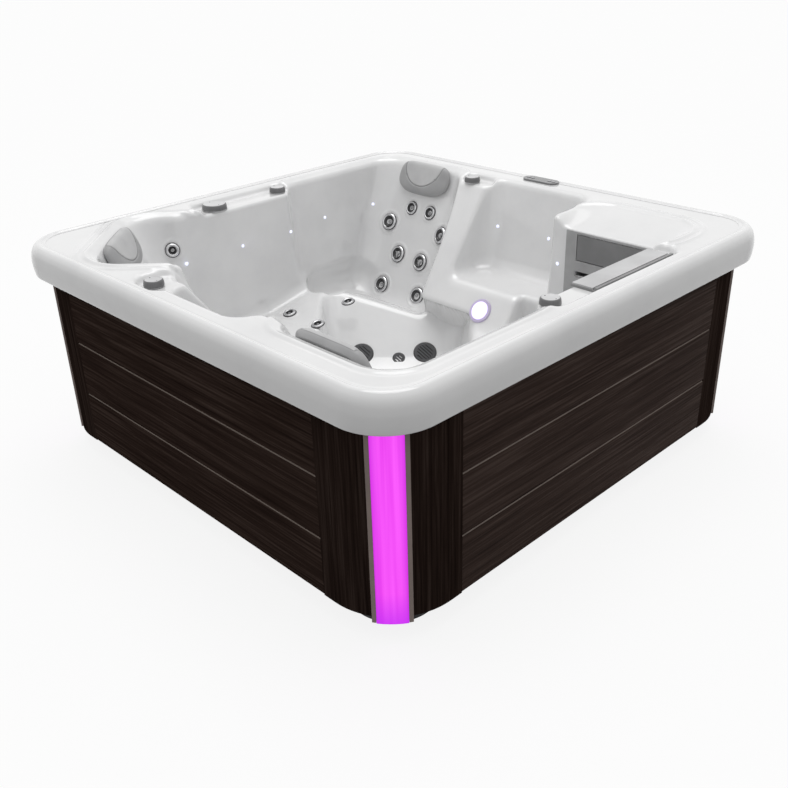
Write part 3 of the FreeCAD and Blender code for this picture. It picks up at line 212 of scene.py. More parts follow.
# boards: grain across and along them, lowest edge, first board and pitch, painted highlight on the upper
# edge, deepest grain
boardSet = dict(across=150.0, along=3.2, low=0.080, first=0.203, pitch=0.21, lip=0.0035, lipFade=0.0020,
                edgeHighlight=(0.30, 0.25, 0.22), dark=(0.0170, 0.0102, 0.0084), middle=(0.0375, 0.0235, 0.0190),
                light=(0.0740, 0.0510, 0.0425), uprightsPerTurn=1.27, deep=0.0024)


def boardFinish(title, axis, tone=1.0, gloss=0.0):
    # embossed dark board: long streaks of grain along one axis, a tone for each board, worn high spots and a
    # painted highlight along the upper edge under each seam, where its chamfer would catch the light
    s = Shader(title)
    scale = [boardSet["along" if name == axis else "across"] for name in "xyz"]
    spot = s.spot()
    parts = s.add("SeparateXYZ", None, {"Vector": spot})
    level = (parts.out("Z") - (boardSet["low"] + boardSet["first"])) / boardSet["pitch"]
    if axis == "z":
        level = s.math("ARCTAN2", parts.out("Y"), parts.out("X")) * boardSet["uprightsPerTurn"] + 0.5
    number = s.math("FLOOR", level)
    shift = s.add("CombineXYZ", None, {"X": number * 3.7, "Y": number * 5.3, "Z": number * 1.9})
    moved = s.add("VectorMath", {"operation": "ADD"}, {0: spot, 1: shift.out("Vector")}).out("Vector")
    stretched = s.add("Mapping", None, {"Vector": moved, "Scale": scale}).out("Vector")
    coarse = s.add("Mapping", None, {"Vector": moved, "Scale": [v * 0.3 for v in scale]}).out("Vector")
    grain = s.noise(stretched, 1.0, 5.0, 0.62)
    cords = s.noise(stretched, 3.1, 2.0, 0.5)
    broad = s.noise(coarse, 1.0, 3.0, 0.55)
    each = s.add("TexWhiteNoise", {"noise_dimensions": "1D"}, {"W": number}).out("Value")
    streak = s.between(grain * 0.65 + broad * 0.35, 0.36, 0.64)
    dark, middle, light = [tuple(c * tone for c in boardSet[key]) for key in ("dark", "middle", "light")]
    colour = s.ramp(streak, [(0.0, dark), (0.5, middle), (1.0, light)])
    lifted = s.blend(each * 0.30, colour, rgba(middle))
    # painted highlight: worn is a light band at the top of each board under the seam, standing for the light
    # caught by the chamfer
    if axis != "z":
        under = (1 - (level - number)) * boardSet["pitch"]
        worn = s.between(under, boardSet["lip"], boardSet["lipFade"]) * 0.95
        lifted = s.blend(worn, lifted, rgba(boardSet["edgeHighlight"]))
    height = grain * 0.7 + cords * 0.3
    return s.surface(Base_Color=lifted, Roughness=0.62 - streak * 0.14, Specular_IOR_Level=gloss,
                     Normal=s.bump(height, 0.8, boardSet["deep"]))


dotSet = dict(colour=(0.80, 0.82, 1.0), edge=(0.74, 0.78, 1.0), clouds=9.0)


def dotFinish():
    # pin lamps: the lamp's colour with slow clouds of the diffusing lens
    s = Shader("pin_lamps")
    clouds = s.noise(s.place((1, 1, 0.35)), dotSet["clouds"], 3.0)
    lit = s.blend(s.between(clouds, 0.3, 0.7), rgba(dotSet["edge"]), rgba(dotSet["colour"]))
    base = s.blend(clouds, rgba(dotSet["edge"], 0.5), rgba(dotSet["colour"], 0.6))
    return s.surface(Base_Color=base, Roughness=clouds * 0.1 + 0.3, Emission_Color=lit, Emission_Strength=1.0)


# lit strip: half widths between which it darkens, heights between which it turns violet
stripSet = dict(edge=(0.026, 0.047), foot=(0.17, 0.06), bands=(60, 60, 1.2),
                dim=(0.80, 0.050, 0.84), bright=(0.93, 0.095, 0.95), side=(0.60, 0.022, 0.72),
                low=(0.50, 0.022, 0.86), unlit=((0.10, 0.02, 0.10), (0.14, 0.03, 0.14)))


def stripFinish():
    # distance across the strip is the lesser of |x + y| and |x - y| over the root of two; it is darker to its
    # edges and more violet at its foot, with faint upright bands of the lamps behind
    s = Shader("lit_strip")
    parts = s.add("SeparateXYZ", None, {"Vector": s.spot()})
    x, y, z = (parts.out(axis) for axis in "XYZ")
    across = s.math("MINIMUM", abs(x + y), abs(x - y)) * 0.7071
    bands = s.noise(s.place(stripSet["bands"]), 1.0, 2.0)
    body = s.blend(s.between(bands, 0.35, 0.65), rgba(stripSet["dim"]), rgba(stripSet["bright"]))
    lit = s.blend(s.between(across, *stripSet["edge"]) * 0.85, body, rgba(stripSet["side"]))
    glow = s.blend(s.between(z, *stripSet["foot"]) * 0.75, lit, rgba(stripSet["low"]))
    return s.surface(Base_Color=s.blend(bands, *(rgba(c) for c in stripSet["unlit"])), Roughness=0.4,
                     Specular_IOR_Level=0.05, Emission_Color=glow, Emission_Strength=1.0)


# lamp: radius of its lens and the rings of its glow as shares of it
lampSet = dict(radius=0.044, glow=0.95, unlit=((0.5, 0.5, 0.52), (0.6, 0.6, 0.62)),
               rings=[(0.70, (1.0, 0.99, 1.0)), (0.84, (0.86, 0.80, 1.0)), (0.93, (0.40, 0.25, 0.80)),
                      (1.0, (0.55, 0.45, 0.85))])


def lampFinish():
    # lamp lens: white middle, a violet ring where the light leaves its edge, by distance from its centre
    s = Shader("lamp_lens")
    centre = tuple(sum(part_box("light_lens"), Vector()) / 2)
    away = s.add("VectorMath", {"operation": "DISTANCE"}, {0: s.spot(), 1: centre}).out("Value")
    clouds = s.noise(s.place(), 30.0, 3.0)
    ring = s.ramp(away / lampSet["radius"] + clouds * 0.03, lampSet["rings"])
    return s.surface(Base_Color=s.blend(clouds, *(rgba(c) for c in lampSet["unlit"])), Roughness=0.3,
                     Specular_IOR_Level=0.3, Emission_Color=ring, Emission_Strength=lampSet["glow"])


foamSet = dict(cells=620.0, marks=11.0, line=(0.13, 0.13, 0.132),
               side=[(0.3, (0.33, 0.33, 0.335)), (0.75, (0.42, 0.42, 0.422))],
               front=[(0.3, (0.47, 0.47, 0.475)), (0.75, (0.57, 0.57, 0.57))])


def pillowFinish():
    # skinned foam: paler inside the seam than at the sides, a dark line where the attribute "face" is
    # halfway, a fine leather grain and faint handling marks
    s = Shader("pillow_foam")
    spot = s.place()
    cells = s.add("TexVoronoi", None, {"Vector": spot, "Scale": foamSet["cells"]}).out("Distance")
    drift = s.noise(spot, foamSet["marks"], 4.0)
    face = s.add("Attribute", {"attribute_name": "face"}).out("Fac")
    line = 1 - s.between(abs(face - 0.5), 0.25, 0.5)
    skin = s.blend(face, s.ramp(drift, foamSet["side"]), s.ramp(drift, foamSet["front"]))
    return s.surface(Base_Color=s.blend(line * 0.55, skin, rgba(foamSet["line"])), Specular_IOR_Level=0.4,
                     Roughness=drift * 0.14 + 0.36, Normal=s.bump(cells, 0.22, 0.0006))


finishes = {
    "acrylic": acrylicFinish(),
    "trimAcrylic": plastic("acrylic_trim", (0.66, 0.66, 0.67), 0.22, grain=120.0, bump=0.05, coat=0.5),
    # painted glow: the bezel's lavender tint stands for the lamp's violet light falling on it
    "bezel": plastic("bezel_lit", (0.62, 0.54, 0.76), 0.3, grain=120.0, bump=0.05, coat=0.4),
    "fallLens": plastic("waterfall_lip", (0.50, 0.50, 0.505), 0.3, grain=120.0, bump=0.05, coat=0.4),
    "black": plastic("black_moulding", (0.012, 0.011, 0.012), 0.6, specular=0.25, bump=0.3),
    "boardX": boardFinish("board_along_x", "x"),
    # painted light: boards along y are drawn a tenth lighter than those along x, for the side that catches
    # more light
    "boardY": boardFinish("board_along_y_painted_lighter", "y", 1.1, 0.02),
    "boardZ": boardFinish("board_upright", "z", 0.72),
    "strip": stripFinish(),
    "trim": plastic("trim_warm_grey", (0.26, 0.205, 0.185), 0.42, specular=0.35),
    "steel": steel("polished_steel"),
    "jetDark": plastic("jet_dark", (0.035, 0.035, 0.037), 0.35, coat=0.3),
    "jetGrey": plastic("jet_nozzle", (0.42, 0.42, 0.43), 0.25, coat=0.4),
    "grille": plastic("grille_grey", (0.055, 0.055, 0.058), 0.42),
    "lens": lampFinish(),
    "dot": dotFinish(),
    "knob": plastic("knob_grey", (0.58, 0.58, 0.585), 0.3, coat=0.3),
    "pipe": plastic("white_pipe", (0.72, 0.72, 0.70), 0.38),
    "knobDark": plastic("knob_skirt", (0.15, 0.15, 0.153), 0.34, coat=0.2),
    # painted shade: dark band round the foot of each jet flange
    "gasket": plastic("gasket_dark", (0.06, 0.06, 0.062), 0.5),
    "pillow": pillowFinish(),
    "panel": plastic("panel_grey", (0.17, 0.17, 0.175), 0.3, coat=0.4),
    "display": plastic("display_window", (0.012, 0.014, 0.016), 0.14, coat=0.8, bump=0.02),
    "button": plastic("button_soft", (0.40, 0.40, 0.41), 0.55),
    "skimmer": plastic("skimmer_grey", (0.36, 0.36, 0.362), 0.42),
    "weir": plastic("weir_grey", (0.20, 0.20, 0.202), 0.34),
    "fall": plastic("waterfall_grey", (0.25, 0.25, 0.252), 0.4),
    "basket": plastic("basket_white", (0.70, 0.70, 0.70), 0.4),
    "paper": plastic("filter_paper", (0.78, 0.78, 0.75), 0.85, grain=420.0, bump=0.5, specular=0.15),
    "timber": boardFinish("cabinet_timber", "z", 16.0),
    "motor": plastic("motor_paint", (0.05, 0.05, 0.055), 0.38, bump=0.35),
    "heater": steel("heater_steel", rough=0.3),
}

# what each node wears, by the start of its name
wear = {"base_pan": "black", "frame_": "timber", "right_skirt": "boardY", "left_skirt": "boardY",
        "front_skirt": "boardX", "rear_skirt": "boardX", "skirt_end": "boardZ", "corner_posts": "boardZ",
        "corner_light_strips": "strip", "corner_light_trims": "trim", "acrylic_shell": "acrylic",
        "jet_fittings": "steel", "jet_insert": "jetDark", "suction_covers": "grille", "floor_drain": "grille",
        "light_bezel": "bezel", "light_lens": "lens", "waterline_lights": "dot",
        "valve_bodies": "trimAcrylic", "diverter_knob": "knob", "air_knob": "knob", "control_panel": "panel",
        "panel_display": "display", "button": "button", "skimmer_plate": "skimmer",
        "skimmer_weir": "weir", "skimmer_housing": "skimmer", "filter_basket": "basket",
        "filter_cartridge": "paper", "waterfall_housing": "fall", "waterfall_lens": "fallLens",
        "pillow": "panel", "pump_motor": "motor", "pump_wet_end": "black", "heater_tube": "heater",
        "control_box": "black", "air_blower": "black", "water_pipes": "pipe"}
for name, node in nodes.items():
    finish = next(worn for start, worn in wear.items() if name.startswith(start))
    node.data.materials.clear()
    node.data.materials.append(finishes[finish])
print("finishes written:", len(finishes))


def meshFrom(name, points, faces, finish):
    data = bpy.data.meshes.new(name)
    data.from_pydata(points.reshape(-1, 3).tolist(), [], faces)
    data.materials.append(finishes[finish])
    data.polygons.foreach_set("use_smooth", [True] * len(data.polygons))
    data.update()
    piece = bpy.data.objects.new(name, data)
    bpy.context.scene.collection.objects.link(piece)
    return piece


def gridFaces(rows, columns, closed=False):
    # quads of a grid whose points run column by column inside each row; closed joins last column to first
    i, j = np.meshgrid(np.arange(rows - 1), np.arange(columns if closed else columns - 1), indexing="ij")
    k = (j + 1) % columns
    quad = np.stack([i * columns + j, i * columns + k, (i + 1) * columns + k, (i + 1) * columns + j], -1)
    return quad.reshape(-1, 4)


def softened(points, steps=3):
    # smooth curve through the profile's points: each run is the cubic whose end slopes are half the step
    # between the points before and after it
    p = np.array(points)
    p = np.concatenate([2 * p[:1] - p[1:2], p, 2 * p[-1:] - p[-2:-1]])
    t = (np.arange(steps) / steps)[:, None]
    runs = []
    for i in range(1, len(p) - 2):
        a, b, c, d = p[i - 1], p[i], p[i + 1], p[i + 2]
        runs.append(0.5 * (2 * b + (c - a) * t + (2 * a - 5 * b + 4 * c - d) * t ** 2
                           + (3 * b - a - 3 * c + d) * t ** 3))
    return np.concatenate(runs + [p[-2:-1]])


# acrylic shell: the air inside the tub as one smooth field, cast on rays from an eye above the middle
basin = 0.85
shellSet = dict(rim=0.826, floorFillet=0.055, joinFillet=0.028, rimFillet=0.03, softFillet=0.016,
                podFillet=0.02, ledgeFillet=0.014, past=1.1, podPast=1.2, sink=0.0006, eye=1.10,
                edge=0.940, cornerCentre=0.815, straight=120, corner=60, rows=320, castRows=420, skip=3,
                blur=4, leastStep=0.0004)
# outlines at floor and top as shares of the basin's half width: low x, high x, low y, high y, corner radius;
# slope is the seat's tangent, where it begins and its way
hollowSet = {
    "footwell": dict(low=(-0.453, 0.453, -0.315, 0.315, 0.080), high=(-0.789, 0.789, -0.385, 0.385, 0.120),
                     floor=0.084, top=0.345, turns=(135,)),
    "middle": dict(low=(-0.388, 0.341, -0.120, 0.494, 0.035), high=(-0.480, 0.352, -0.120, 0.945, 0.100),
                   floor=0.300, turns=(0, 180)),
    "legs": dict(low=(0.235, 0.915, -0.388, 0.673, 0.012), high=(0.176, 0.934, -0.388, 0.673, 0.012),
                 floor=0.300, turns=(0,), slope=(math.tan(math.radians(12)), 0.035, -1.0)),
    "farLegs": dict(low=(-0.915, -0.235, -0.530, 0.388, 0.120), high=(-0.934, -0.176, -0.560, 0.388, 0.120),
                    floor=0.300, turns=(0,), slope=(math.tan(math.radians(12)), -0.035, 1.0)),
    "bucket": dict(low=(-0.937, -0.357, 0.176, 0.666, 0.130), high=(-1.012, -0.405, 0.176, 0.988, 0.122),
                   floor=0.232, turns=(0, 180), slope=(math.tan(math.radians(25)), 0.631, -1.0)),
    "coolSeat": dict(low=(-0.230, 0.345, 0.500, 0.890, 0.100), high=(-0.240, 0.360, 0.470, 1.005, 0.090),
                     floor=0.453, turns=(0,)),
    "frontSeat": dict(low=(-0.165, 0.276, -0.929, -0.500, 0.100), high=(-0.194, 0.308, -1.040, -0.470, 0.090),
                      floor=0.453, turns=(0,)),
    "cornerSeat": dict(low=(0.529, 1.012, -0.282, 0.282, 0.129), high=(0.471, 1.229, -0.330, 0.330, 0.153),
                       floor=0.440, turns=(225,)),
}
# ledges under the knobs, the raised pod of the skimmer, and the arm grooves of the loungers
ledgeSet = [(-1.052, -0.926, -0.341, 0.212, 0.050), (0.926, 1.052, -0.224, 0.600, 0.050),
            (-0.335, -0.150, -1.075, -0.900, 0.050), (-0.412, -0.230, 0.880, 1.010, 0.050)]
ledgeLevel = 0.800
podSet = dict(low=(0.446, 0.922, 0.565, 0.680, 0.040), high=(0.388, 0.955, 0.565, 0.930, 0.150), floor=0.778,
              turns=(0,))
grooveSet = dict(place=(-0.876, 0.353, 0.406), radius=0.095, length=0.210)


def smoothMin(a, b, k):
    # the lesser of two fields, rounded where they come within k of each other: a quarter of k deep
    h = np.maximum(k - np.abs(a - b), 0.0) / k
    return np.minimum(a, b) - h * h * k * 0.25


def smoothMax(a, b, k):
    return -smoothMin(-a, -b, k)


def planGap(x, y, share, low, high):
    # distance in plan to a round-cornered rectangle that changes straight from low to high; minus inside
    x0, x1, y0, y1, c = [(a + (b - a) * share) * basin for a, b in zip(low, high)]
    qx = np.abs(x - (x0 + x1) * 0.5) - (x1 - x0) * 0.5 + c
    qy = np.abs(y - (y0 + y1) * 0.5) - (y1 - y0) * 0.5 + c
    return np.hypot(np.maximum(qx, 0), np.maximum(qy, 0)) + np.minimum(np.maximum(qx, qy), 0) - c


def turnPlan(x, y, degrees):
    c, s = math.cos(math.radians(degrees)), math.sin(math.radians(degrees))
    return x * c + y * s, y * c - x * s


def airField(p):
    # minus in the air of the tub and above its rim, plus in the sheet: a smooth least of all hollows
    x, y, z = p[..., 0], p[..., 1], p[..., 2]
    field = None
    for h in hollowSet.values():
        rise = h.get("top", shellSet["rim"]) - h["floor"]
        share = np.clip((z - h["floor"]) / rise, 0.0, 1.0 if "top" in h else shellSet["past"])
        for degrees in h["turns"]:
            u, v = turnPlan(x, y, degrees)
            bottom = h["floor"] - z
            if "slope" in h:
                slope, start, way = h["slope"]
                bottom = bottom + slope * np.maximum(way * (v - start * basin), 0.0)
                bottom = bottom / math.hypot(1.0, slope)
            part = smoothMax(planGap(u, v, share, h["low"], h["high"]), bottom, shellSet["floorFillet"])
            if "top" in h:
                part = np.maximum(part, z - h["top"])
            field = part if field is None else smoothMin(field, part, shellSet["joinFillet"])
    gx, gy, gz = [c * basin for c in grooveSet["place"]]
    for degrees in (0, 180):
        u, v = turnPlan(x, y, degrees)
        reach = np.clip(v - gy, 0.0, grooveSet["length"])
        part = np.sqrt((u - gx) ** 2 + (v - gy - reach) ** 2 + (z - gz) ** 2) - grooveSet["radius"]
        field = smoothMin(field, part, shellSet["softFillet"])
    for row in ledgeSet:
        part = smoothMax(planGap(x, y, 0.0, row, row), ledgeLevel - z, shellSet["ledgeFillet"])
        field = smoothMin(field, part, shellSet["softFillet"])
    floor, fillet = podSet["floor"], shellSet["podFillet"]
    share = np.clip((z - floor) / (shellSet["rim"] - floor), 0.0, shellSet["podPast"])
    part = smoothMax(planGap(x, y, share, podSet["low"], podSet["high"]), floor - z, fillet)
    field = smoothMin(field, part, fillet)
    return smoothMin(field, shellSet["rim"] - z, shellSet["rimFillet"])


castSet = dict(reach=2.2, steps=90, stride=0.8, least=0.0025, halvings=12)


def castRays(start, way):
    # walks each ray through the air by its own clearance to the first point in the sheet, then halves the gap
    far, near = np.zeros(len(way)), np.zeros(len(way))
    active = np.arange(len(way))
    for step in range(castSet["steps"]):
        value = airField(start + way[active] * far[active, None])
        inside = value < shellSet["sink"]
        moving = active[inside]
        near[moving] = far[moving]
        far[moving] += np.maximum(-value[inside] * castSet["stride"], castSet["least"])
        active = moving[far[moving] < castSet["reach"]]
        if not len(active):
            break
    for step in range(castSet["halvings"]):
        middle = (near + far) * 0.5
        inside = airField(start + way * middle[:, None]) < shellSet["sink"]
        near = np.where(inside, middle, near)
        far = np.where(inside, far, middle)
    return (near + far) * 0.5


def rimPath(half):
    # round-cornered square, anticlockwise from the middle of the +X side, in four equal quarters
    centre, n, m = shellSet["cornerCentre"], shellSet["straight"], shellSet["corner"]
    up = np.arange(n) / n * centre
    turnAngle = np.arange(m) / m * math.pi / 2
    bend = half - centre
    side = np.stack([np.full(n, half), up], -1)
    arc = np.stack([centre + bend * np.cos(turnAngle), centre + bend * np.sin(turnAngle)], -1)
    lastSide = np.stack([centre - up, np.full(n, half)], -1)
    quarter = np.concatenate([side, arc, lastSide])
    spins = []
    for k in range(4):
        c, s = round(math.cos(k * math.pi / 2)), round(math.sin(k * math.pi / 2))
        spins.append(quarter @ np.array([[c, s], [-s, c]]))
    return np.concatenate(spins)


def shellGrid():
    # points of the inner skin: rows from the middle of the footwell out to the rim, spaced by true length
    path = rimPath(shellSet["edge"])
    reach = np.hypot(path[:, 0], path[:, 1])
    plan = path / reach[:, None]
    eye = np.array([0.0, 0.0, shellSet["eye"]])
    lowest = -math.pi / 2
    highest = np.arctan2(shellSet["rim"] - shellSet["eye"], reach)

    def solve(angles, ways):
        outward = np.cos(angles)
        way = np.stack([outward * ways[:, None, 0], outward * ways[:, None, 1], np.sin(angles)], -1)
        flat = way.reshape(-1, 3)
        return (eye + flat * castRays(eye, flat)[:, None]).reshape(way.shape)

    skip, blur = shellSet["skip"], shellSet["blur"]
    rough = np.linspace(0.0, 1.0, shellSet["castRows"])
    angles = lowest + rough[None] * (highest[::skip, None] - lowest)
    points = solve(angles, plan[::skip])
    length = np.linalg.norm(np.diff(points, axis=1), axis=-1) + shellSet["leastStep"]
    length = np.concatenate([np.zeros((len(points), 1)), np.cumsum(length, axis=1)], axis=1)
    share = np.linspace(0.0, 1.0, shellSet["rows"] + 1)
    spaced = np.stack([np.interp(share * l[-1], l, rough) for l in length])
    # meridians between the solved ones take their neighbours' spacing, smoothed round the tub
    around = np.arange(len(path)) / skip
    base = np.floor(around).astype(int)
    part = (around - base)[:, None]
    spaced = spaced[base % len(spaced)] * (1 - part) + spaced[(base + 1) % len(spaced)] * part
    spaced = np.mean([np.roll(spaced, k, axis=0) for k in range(-blur, blur + 1)], axis=0)
    return solve(lowest + spaced * (highest[:, None] - lowest), plan)


wallSet = dict(probe=1e-4, steps=12, leastSlope=0.2)


def wallSpot(name, degrees, x, y, z):
    # place on a hollow's side wall under a plan position, with the wall's normal into the tub, found by steps
    # along the gap's own slope
    h = hollowSet[name]
    rise = h.get("top", shellSet["rim"]) - h["floor"]

    def gap(px, py, pz):
        u, v = turnPlan(px, py, h["turns"][0] + degrees)
        return float(planGap(np.array(u), np.array(v), (pz - h["floor"]) / rise, h["low"], h["high"]))

    d = wallSet["probe"]
    for step in range(wallSet["steps"]):
        here = gap(x, y, z)
        slope = Vector(((gap(x + d, y, z) - here) / d, (gap(x, y + d, z) - here) / d, 0))
        steepness = max(slope.length_squared, wallSet["leastSlope"])
        x -= here * slope.x / steepness
        y -= here * slope.y / steepness
    here = gap(x, y, z)
    normal = -Vector((gap(x + d, y, z) - here, gap(x, y + d, z) - here, gap(x, y, z + d) - here)).normalized()
    return Vector((x, y, z)), normal


def opposite(spot):
    # the same place on the second lounger, half a turn round
    place, normal = spot
    return Vector((-place.x, -place.y, place.z)), Vector((-normal.x, -normal.y, normal.z))


# jets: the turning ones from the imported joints, the fixed ones opposite them and at the corner seat's
# shoulders; each kind has the radius of its flange and of its core
jetSet = dict(kinds=dict(wide=(0.039, 0.027), neck=(0.031, 0.021), calf=(0.028, 0.016)), stand=0.005,
              kindOf=dict(neck="neck", calf="calf", knee="calf"), around=44,
              cornerOnes=("upper_left", "upper_right", "lower_left"), rotors=("middle_left", "middle_right"),
              shoulders=((-0.81175, -0.4403), (-0.4403, -0.81175)), shoulderLevel=0.6889)
jets = []
for joint in frame["joints"]:
    if joint["child"].startswith("jet_insert_"):
        label = joint["child"][len("jet_insert_"):]
        kind = jetSet["kindOf"].get(label.split("_")[0], "wide")
        spot = (Vector(joint["pos_m"]), Vector(joint["axis"]))
        stand = jetSet["stand"] if label in jetSet["cornerOnes"] else 0.0
        jets.append(dict(label=label, kind=kind, spot=spot, stand=stand, body=joint["child"]))
for jet in list(jets):
    jets.append(dict(jet, spot=opposite(jet["spot"]), body="tub"))
for x, y in jetSet["shoulders"]:
    spot = wallSpot("cornerSeat", 0, x, y, jetSet["shoulderLevel"])
    jets.append(dict(label="shoulder", kind="calf", spot=spot, stand=jetSet["stand"], body="tub"))
print("jets placed:", len(jets))


def seatTurn(normal):
    # axes of a seat on a wall: across, up the wall, and out of it
    across = Vector((0, 0, 1)).cross(normal)
    across = across.normalized() if across.length > 1e-3 else Vector((1, 0, 0))
    return np.array([across, normal.cross(across), normal])


def seat(points, spot, stand=0.0, spin=0.0):
    # points made round Z, turned by spin and set on a wall
    place, normal = spot
    c, s = math.cos(spin), math.sin(spin)
    spun = points @ np.array([[c, s, 0], [-s, c, 0], [0, 0, 1]])
    return spun @ seatTurn(normal) + np.array(place + normal * stand)


def lathe(profile, count, ripple=None):
    # profile of (radius, height) from the top middle outwards and down, carried round Z; a point on the axis
    # becomes one pole. ripple gives a factor for the radius by row and angle
    profile = np.array(profile, float)
    angle = np.arange(count) * 2 * math.pi / count
    ring = profile[profile[:, 0] > 0]
    factor = np.ones((len(ring), count)) if ripple is None else ripple(ring, angle)
    radius = ring[:, :1] * factor
    points = np.stack([radius * np.cos(angle), radius * np.sin(angle), np.repeat(ring[:, 1:], count, 1)], -1)
    faces = gridFaces(len(ring), count, True)[:, ::-1].tolist()
    points = points.reshape(-1, 3)
    if profile[0, 0] == 0:
        hub = len(points)
        points = np.concatenate([points, [[0, 0, profile[0, 1]]]])
        faces += [(hub, k, (k + 1) % count) for k in range(count)]
    if profile[-1, 0] == 0:
        hub = len(points)
        last = (len(ring) - 1) * count
        points = np.concatenate([points, [[0, 0, profile[-1, 1]]]])
        faces += [(hub, last + (k + 1) % count, last + k) for k in range(count)]
    return points, faces


def joined(parts):
    # one mesh's points and faces from several
    points, faces, first = [], [], 0
    for p, f in parts:
        points.append(p)
        faces += [tuple(i + first for i in face) for face in f]
        first += len(p)
    return np.concatenate(points), faces


# ring of polished steel over a dark ring that is painted shade, for the flange's shaded side and its contact
# shadow; inside it a dark dish with a light nozzle, or with a rotor
def ringProfile(flange, core):
    middle = (flange + core) / 2 + 0.001
    return softened([(core, -0.004), (core + 0.0002, 0.0062), (core + 0.0016, 0.0092), (middle, 0.0100),
                     (flange - 0.003, 0.0086), (flange - 0.0004, 0.0052), (flange - 0.0015, 0.0030),
                     (flange - 0.007, 0.0026)])


# painted shade: a dark band round the foot of each flange, standing for the flange's shaded side and the
# shadow where it meets the sheet
def flangeShadeProfile(flange, core):
    return softened([(flange - 0.006, 0.0036), (flange - 0.001, 0.0038), (flange + 0.0019, 0.0028),
                     (flange + 0.0021, 0.0006), (flange - 0.004, 0.0002)], 2)


def dishProfile(core):
    r = core - 0.0008
    return softened([(0, -0.0020), (r * 0.30, -0.0018), (r * 0.62, 0.0004), (r * 0.80, 0.0052),
                     (r * 0.90, 0.0086), (r * 0.97, 0.0086), (r, 0.0050), (r, -0.0035)])


def nozzleProfile(core):
    r = core * 0.32
    return softened([(r * 0.45, -0.0012), (r * 0.50, 0.0030), (r * 0.72, 0.0052), (r * 0.98, 0.0040),
                     (r, -0.0015)])


gripSet = dict(inner=0.75, outer=0.985, deep=0.035, scallops=5)


def gripRipple(ring, angle):
    # scallops on the grip ring only, between two shares of the dish's radius
    share = ring[:, :1] / ring[:, 0].max()
    grip = (share > gripSet["inner"]) * (share < gripSet["outer"])
    return 1 - gripSet["deep"] * grip * np.abs(np.cos(angle * gripSet["scallops"]))[None]


rotorSet = dict(arms=3, turn=0.5, reach=0.86, along=10, across=9, half=0.0034, taper=0.0012, height=0.0062,
                arch=0.0030, edgeFall=0.0050)


def rotorArms(core):
    # each arm is a strip from the hub to the rim whose height follows an arch and whose edges fall away
    m = rotorSet
    s = np.linspace(0.0, 1.0, m["along"])[:, None]
    t = np.linspace(-1.0, 1.0, m["across"])[None]
    x = s * (core * m["reach"]) + 0 * t
    y = t * (m["half"] - m["taper"] * s)
    z = m["height"] - m["arch"] * s ** 2 - m["edgeFall"] * t ** 4
    parts = []
    for k in range(m["arms"]):
        a = k * 2 * math.pi / m["arms"] + m["turn"]
        c, w = math.cos(a), math.sin(a)
        points = np.stack([x * c - y * w, x * w + y * c, z], -1)
        parts.append((points.reshape(-1, 3), gridFaces(m["along"], m["across"]).tolist()))
    hub = lathe(softened([(0, 0.0080), (0.0040, 0.0074), (0.0062, 0.0050), (0.0066, -0.0010)]), 20)
    return joined(parts + [hub])


rings, flangeShades = [], []
for jet in jets:
    flange, core = jetSet["kinds"][jet["kind"]]
    for store, profile in ((rings, ringProfile(flange, core)), (flangeShades, flangeShadeProfile(flange, core))):
        points, faces = lathe(profile, jetSet["around"])
        store.append((seat(points, jet["spot"], jet["stand"]), faces))
ringPiece = meshFrom("jet_rings", *joined(rings), "steel")
flangeShadePiece = meshFrom("jet_painted_flange_shade", *joined(flangeShades), "gasket")
for piece in (ringPiece, flangeShadePiece):
    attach(piece, "tub")
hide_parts("jet_fittings")

# what fills each ring: its parts with their finishes; the nozzle sits a little off the middle
insertSet = dict(finishes=dict(dish="jetDark", nozzle="jetGrey"), spin=2.1, offset=0.10)
still = {part: [] for part in insertSet["finishes"]}
for number, jet in enumerate(jets):
    core = jetSet["kinds"][jet["kind"]][1]
    spin = number * insertSet["spin"]
    dish, dishFaces = lathe(dishProfile(core), 40, gripRipple)
    if jet["label"] in jetSet["rotors"]:
        nozzle, nozzleFaces = rotorArms(core)
    else:
        nozzle, nozzleFaces = lathe(nozzleProfile(core), 24)
        nozzle = nozzle + np.array([core * insertSet["offset"], 0.0, 0.0])
    made = {"dish": (seat(dish, jet["spot"], jet["stand"], spin), dishFaces),
            "nozzle": (seat(nozzle, jet["spot"], jet["stand"], spin), nozzleFaces)}
    if jet["body"] == "tub":
        for part in still:
            still[part].append(made[part])
        continue
    for part, finish in insertSet["finishes"].items():
        piece = meshFrom("jet_%s_%s" % (part, jet["label"]), *made[part], finish)
        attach(piece, jet["body"])
        if part == "dish":
            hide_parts(jet["body"])
for part, finish in insertSet["finishes"].items():
    piece = meshFrom("fixed_jet_%s" % part, *joined(still[part]), finish)
    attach(piece, "tub")
print("jets made")

# knobs: fluted dark skirt under a light cap with a raised rim and two small marks
knobSet = dict(big=0.052, small=0.035, foot=0.0038, top=0.0258, flutes=26, fluteDeep=0.012, around=104,
               markAt=0.62)


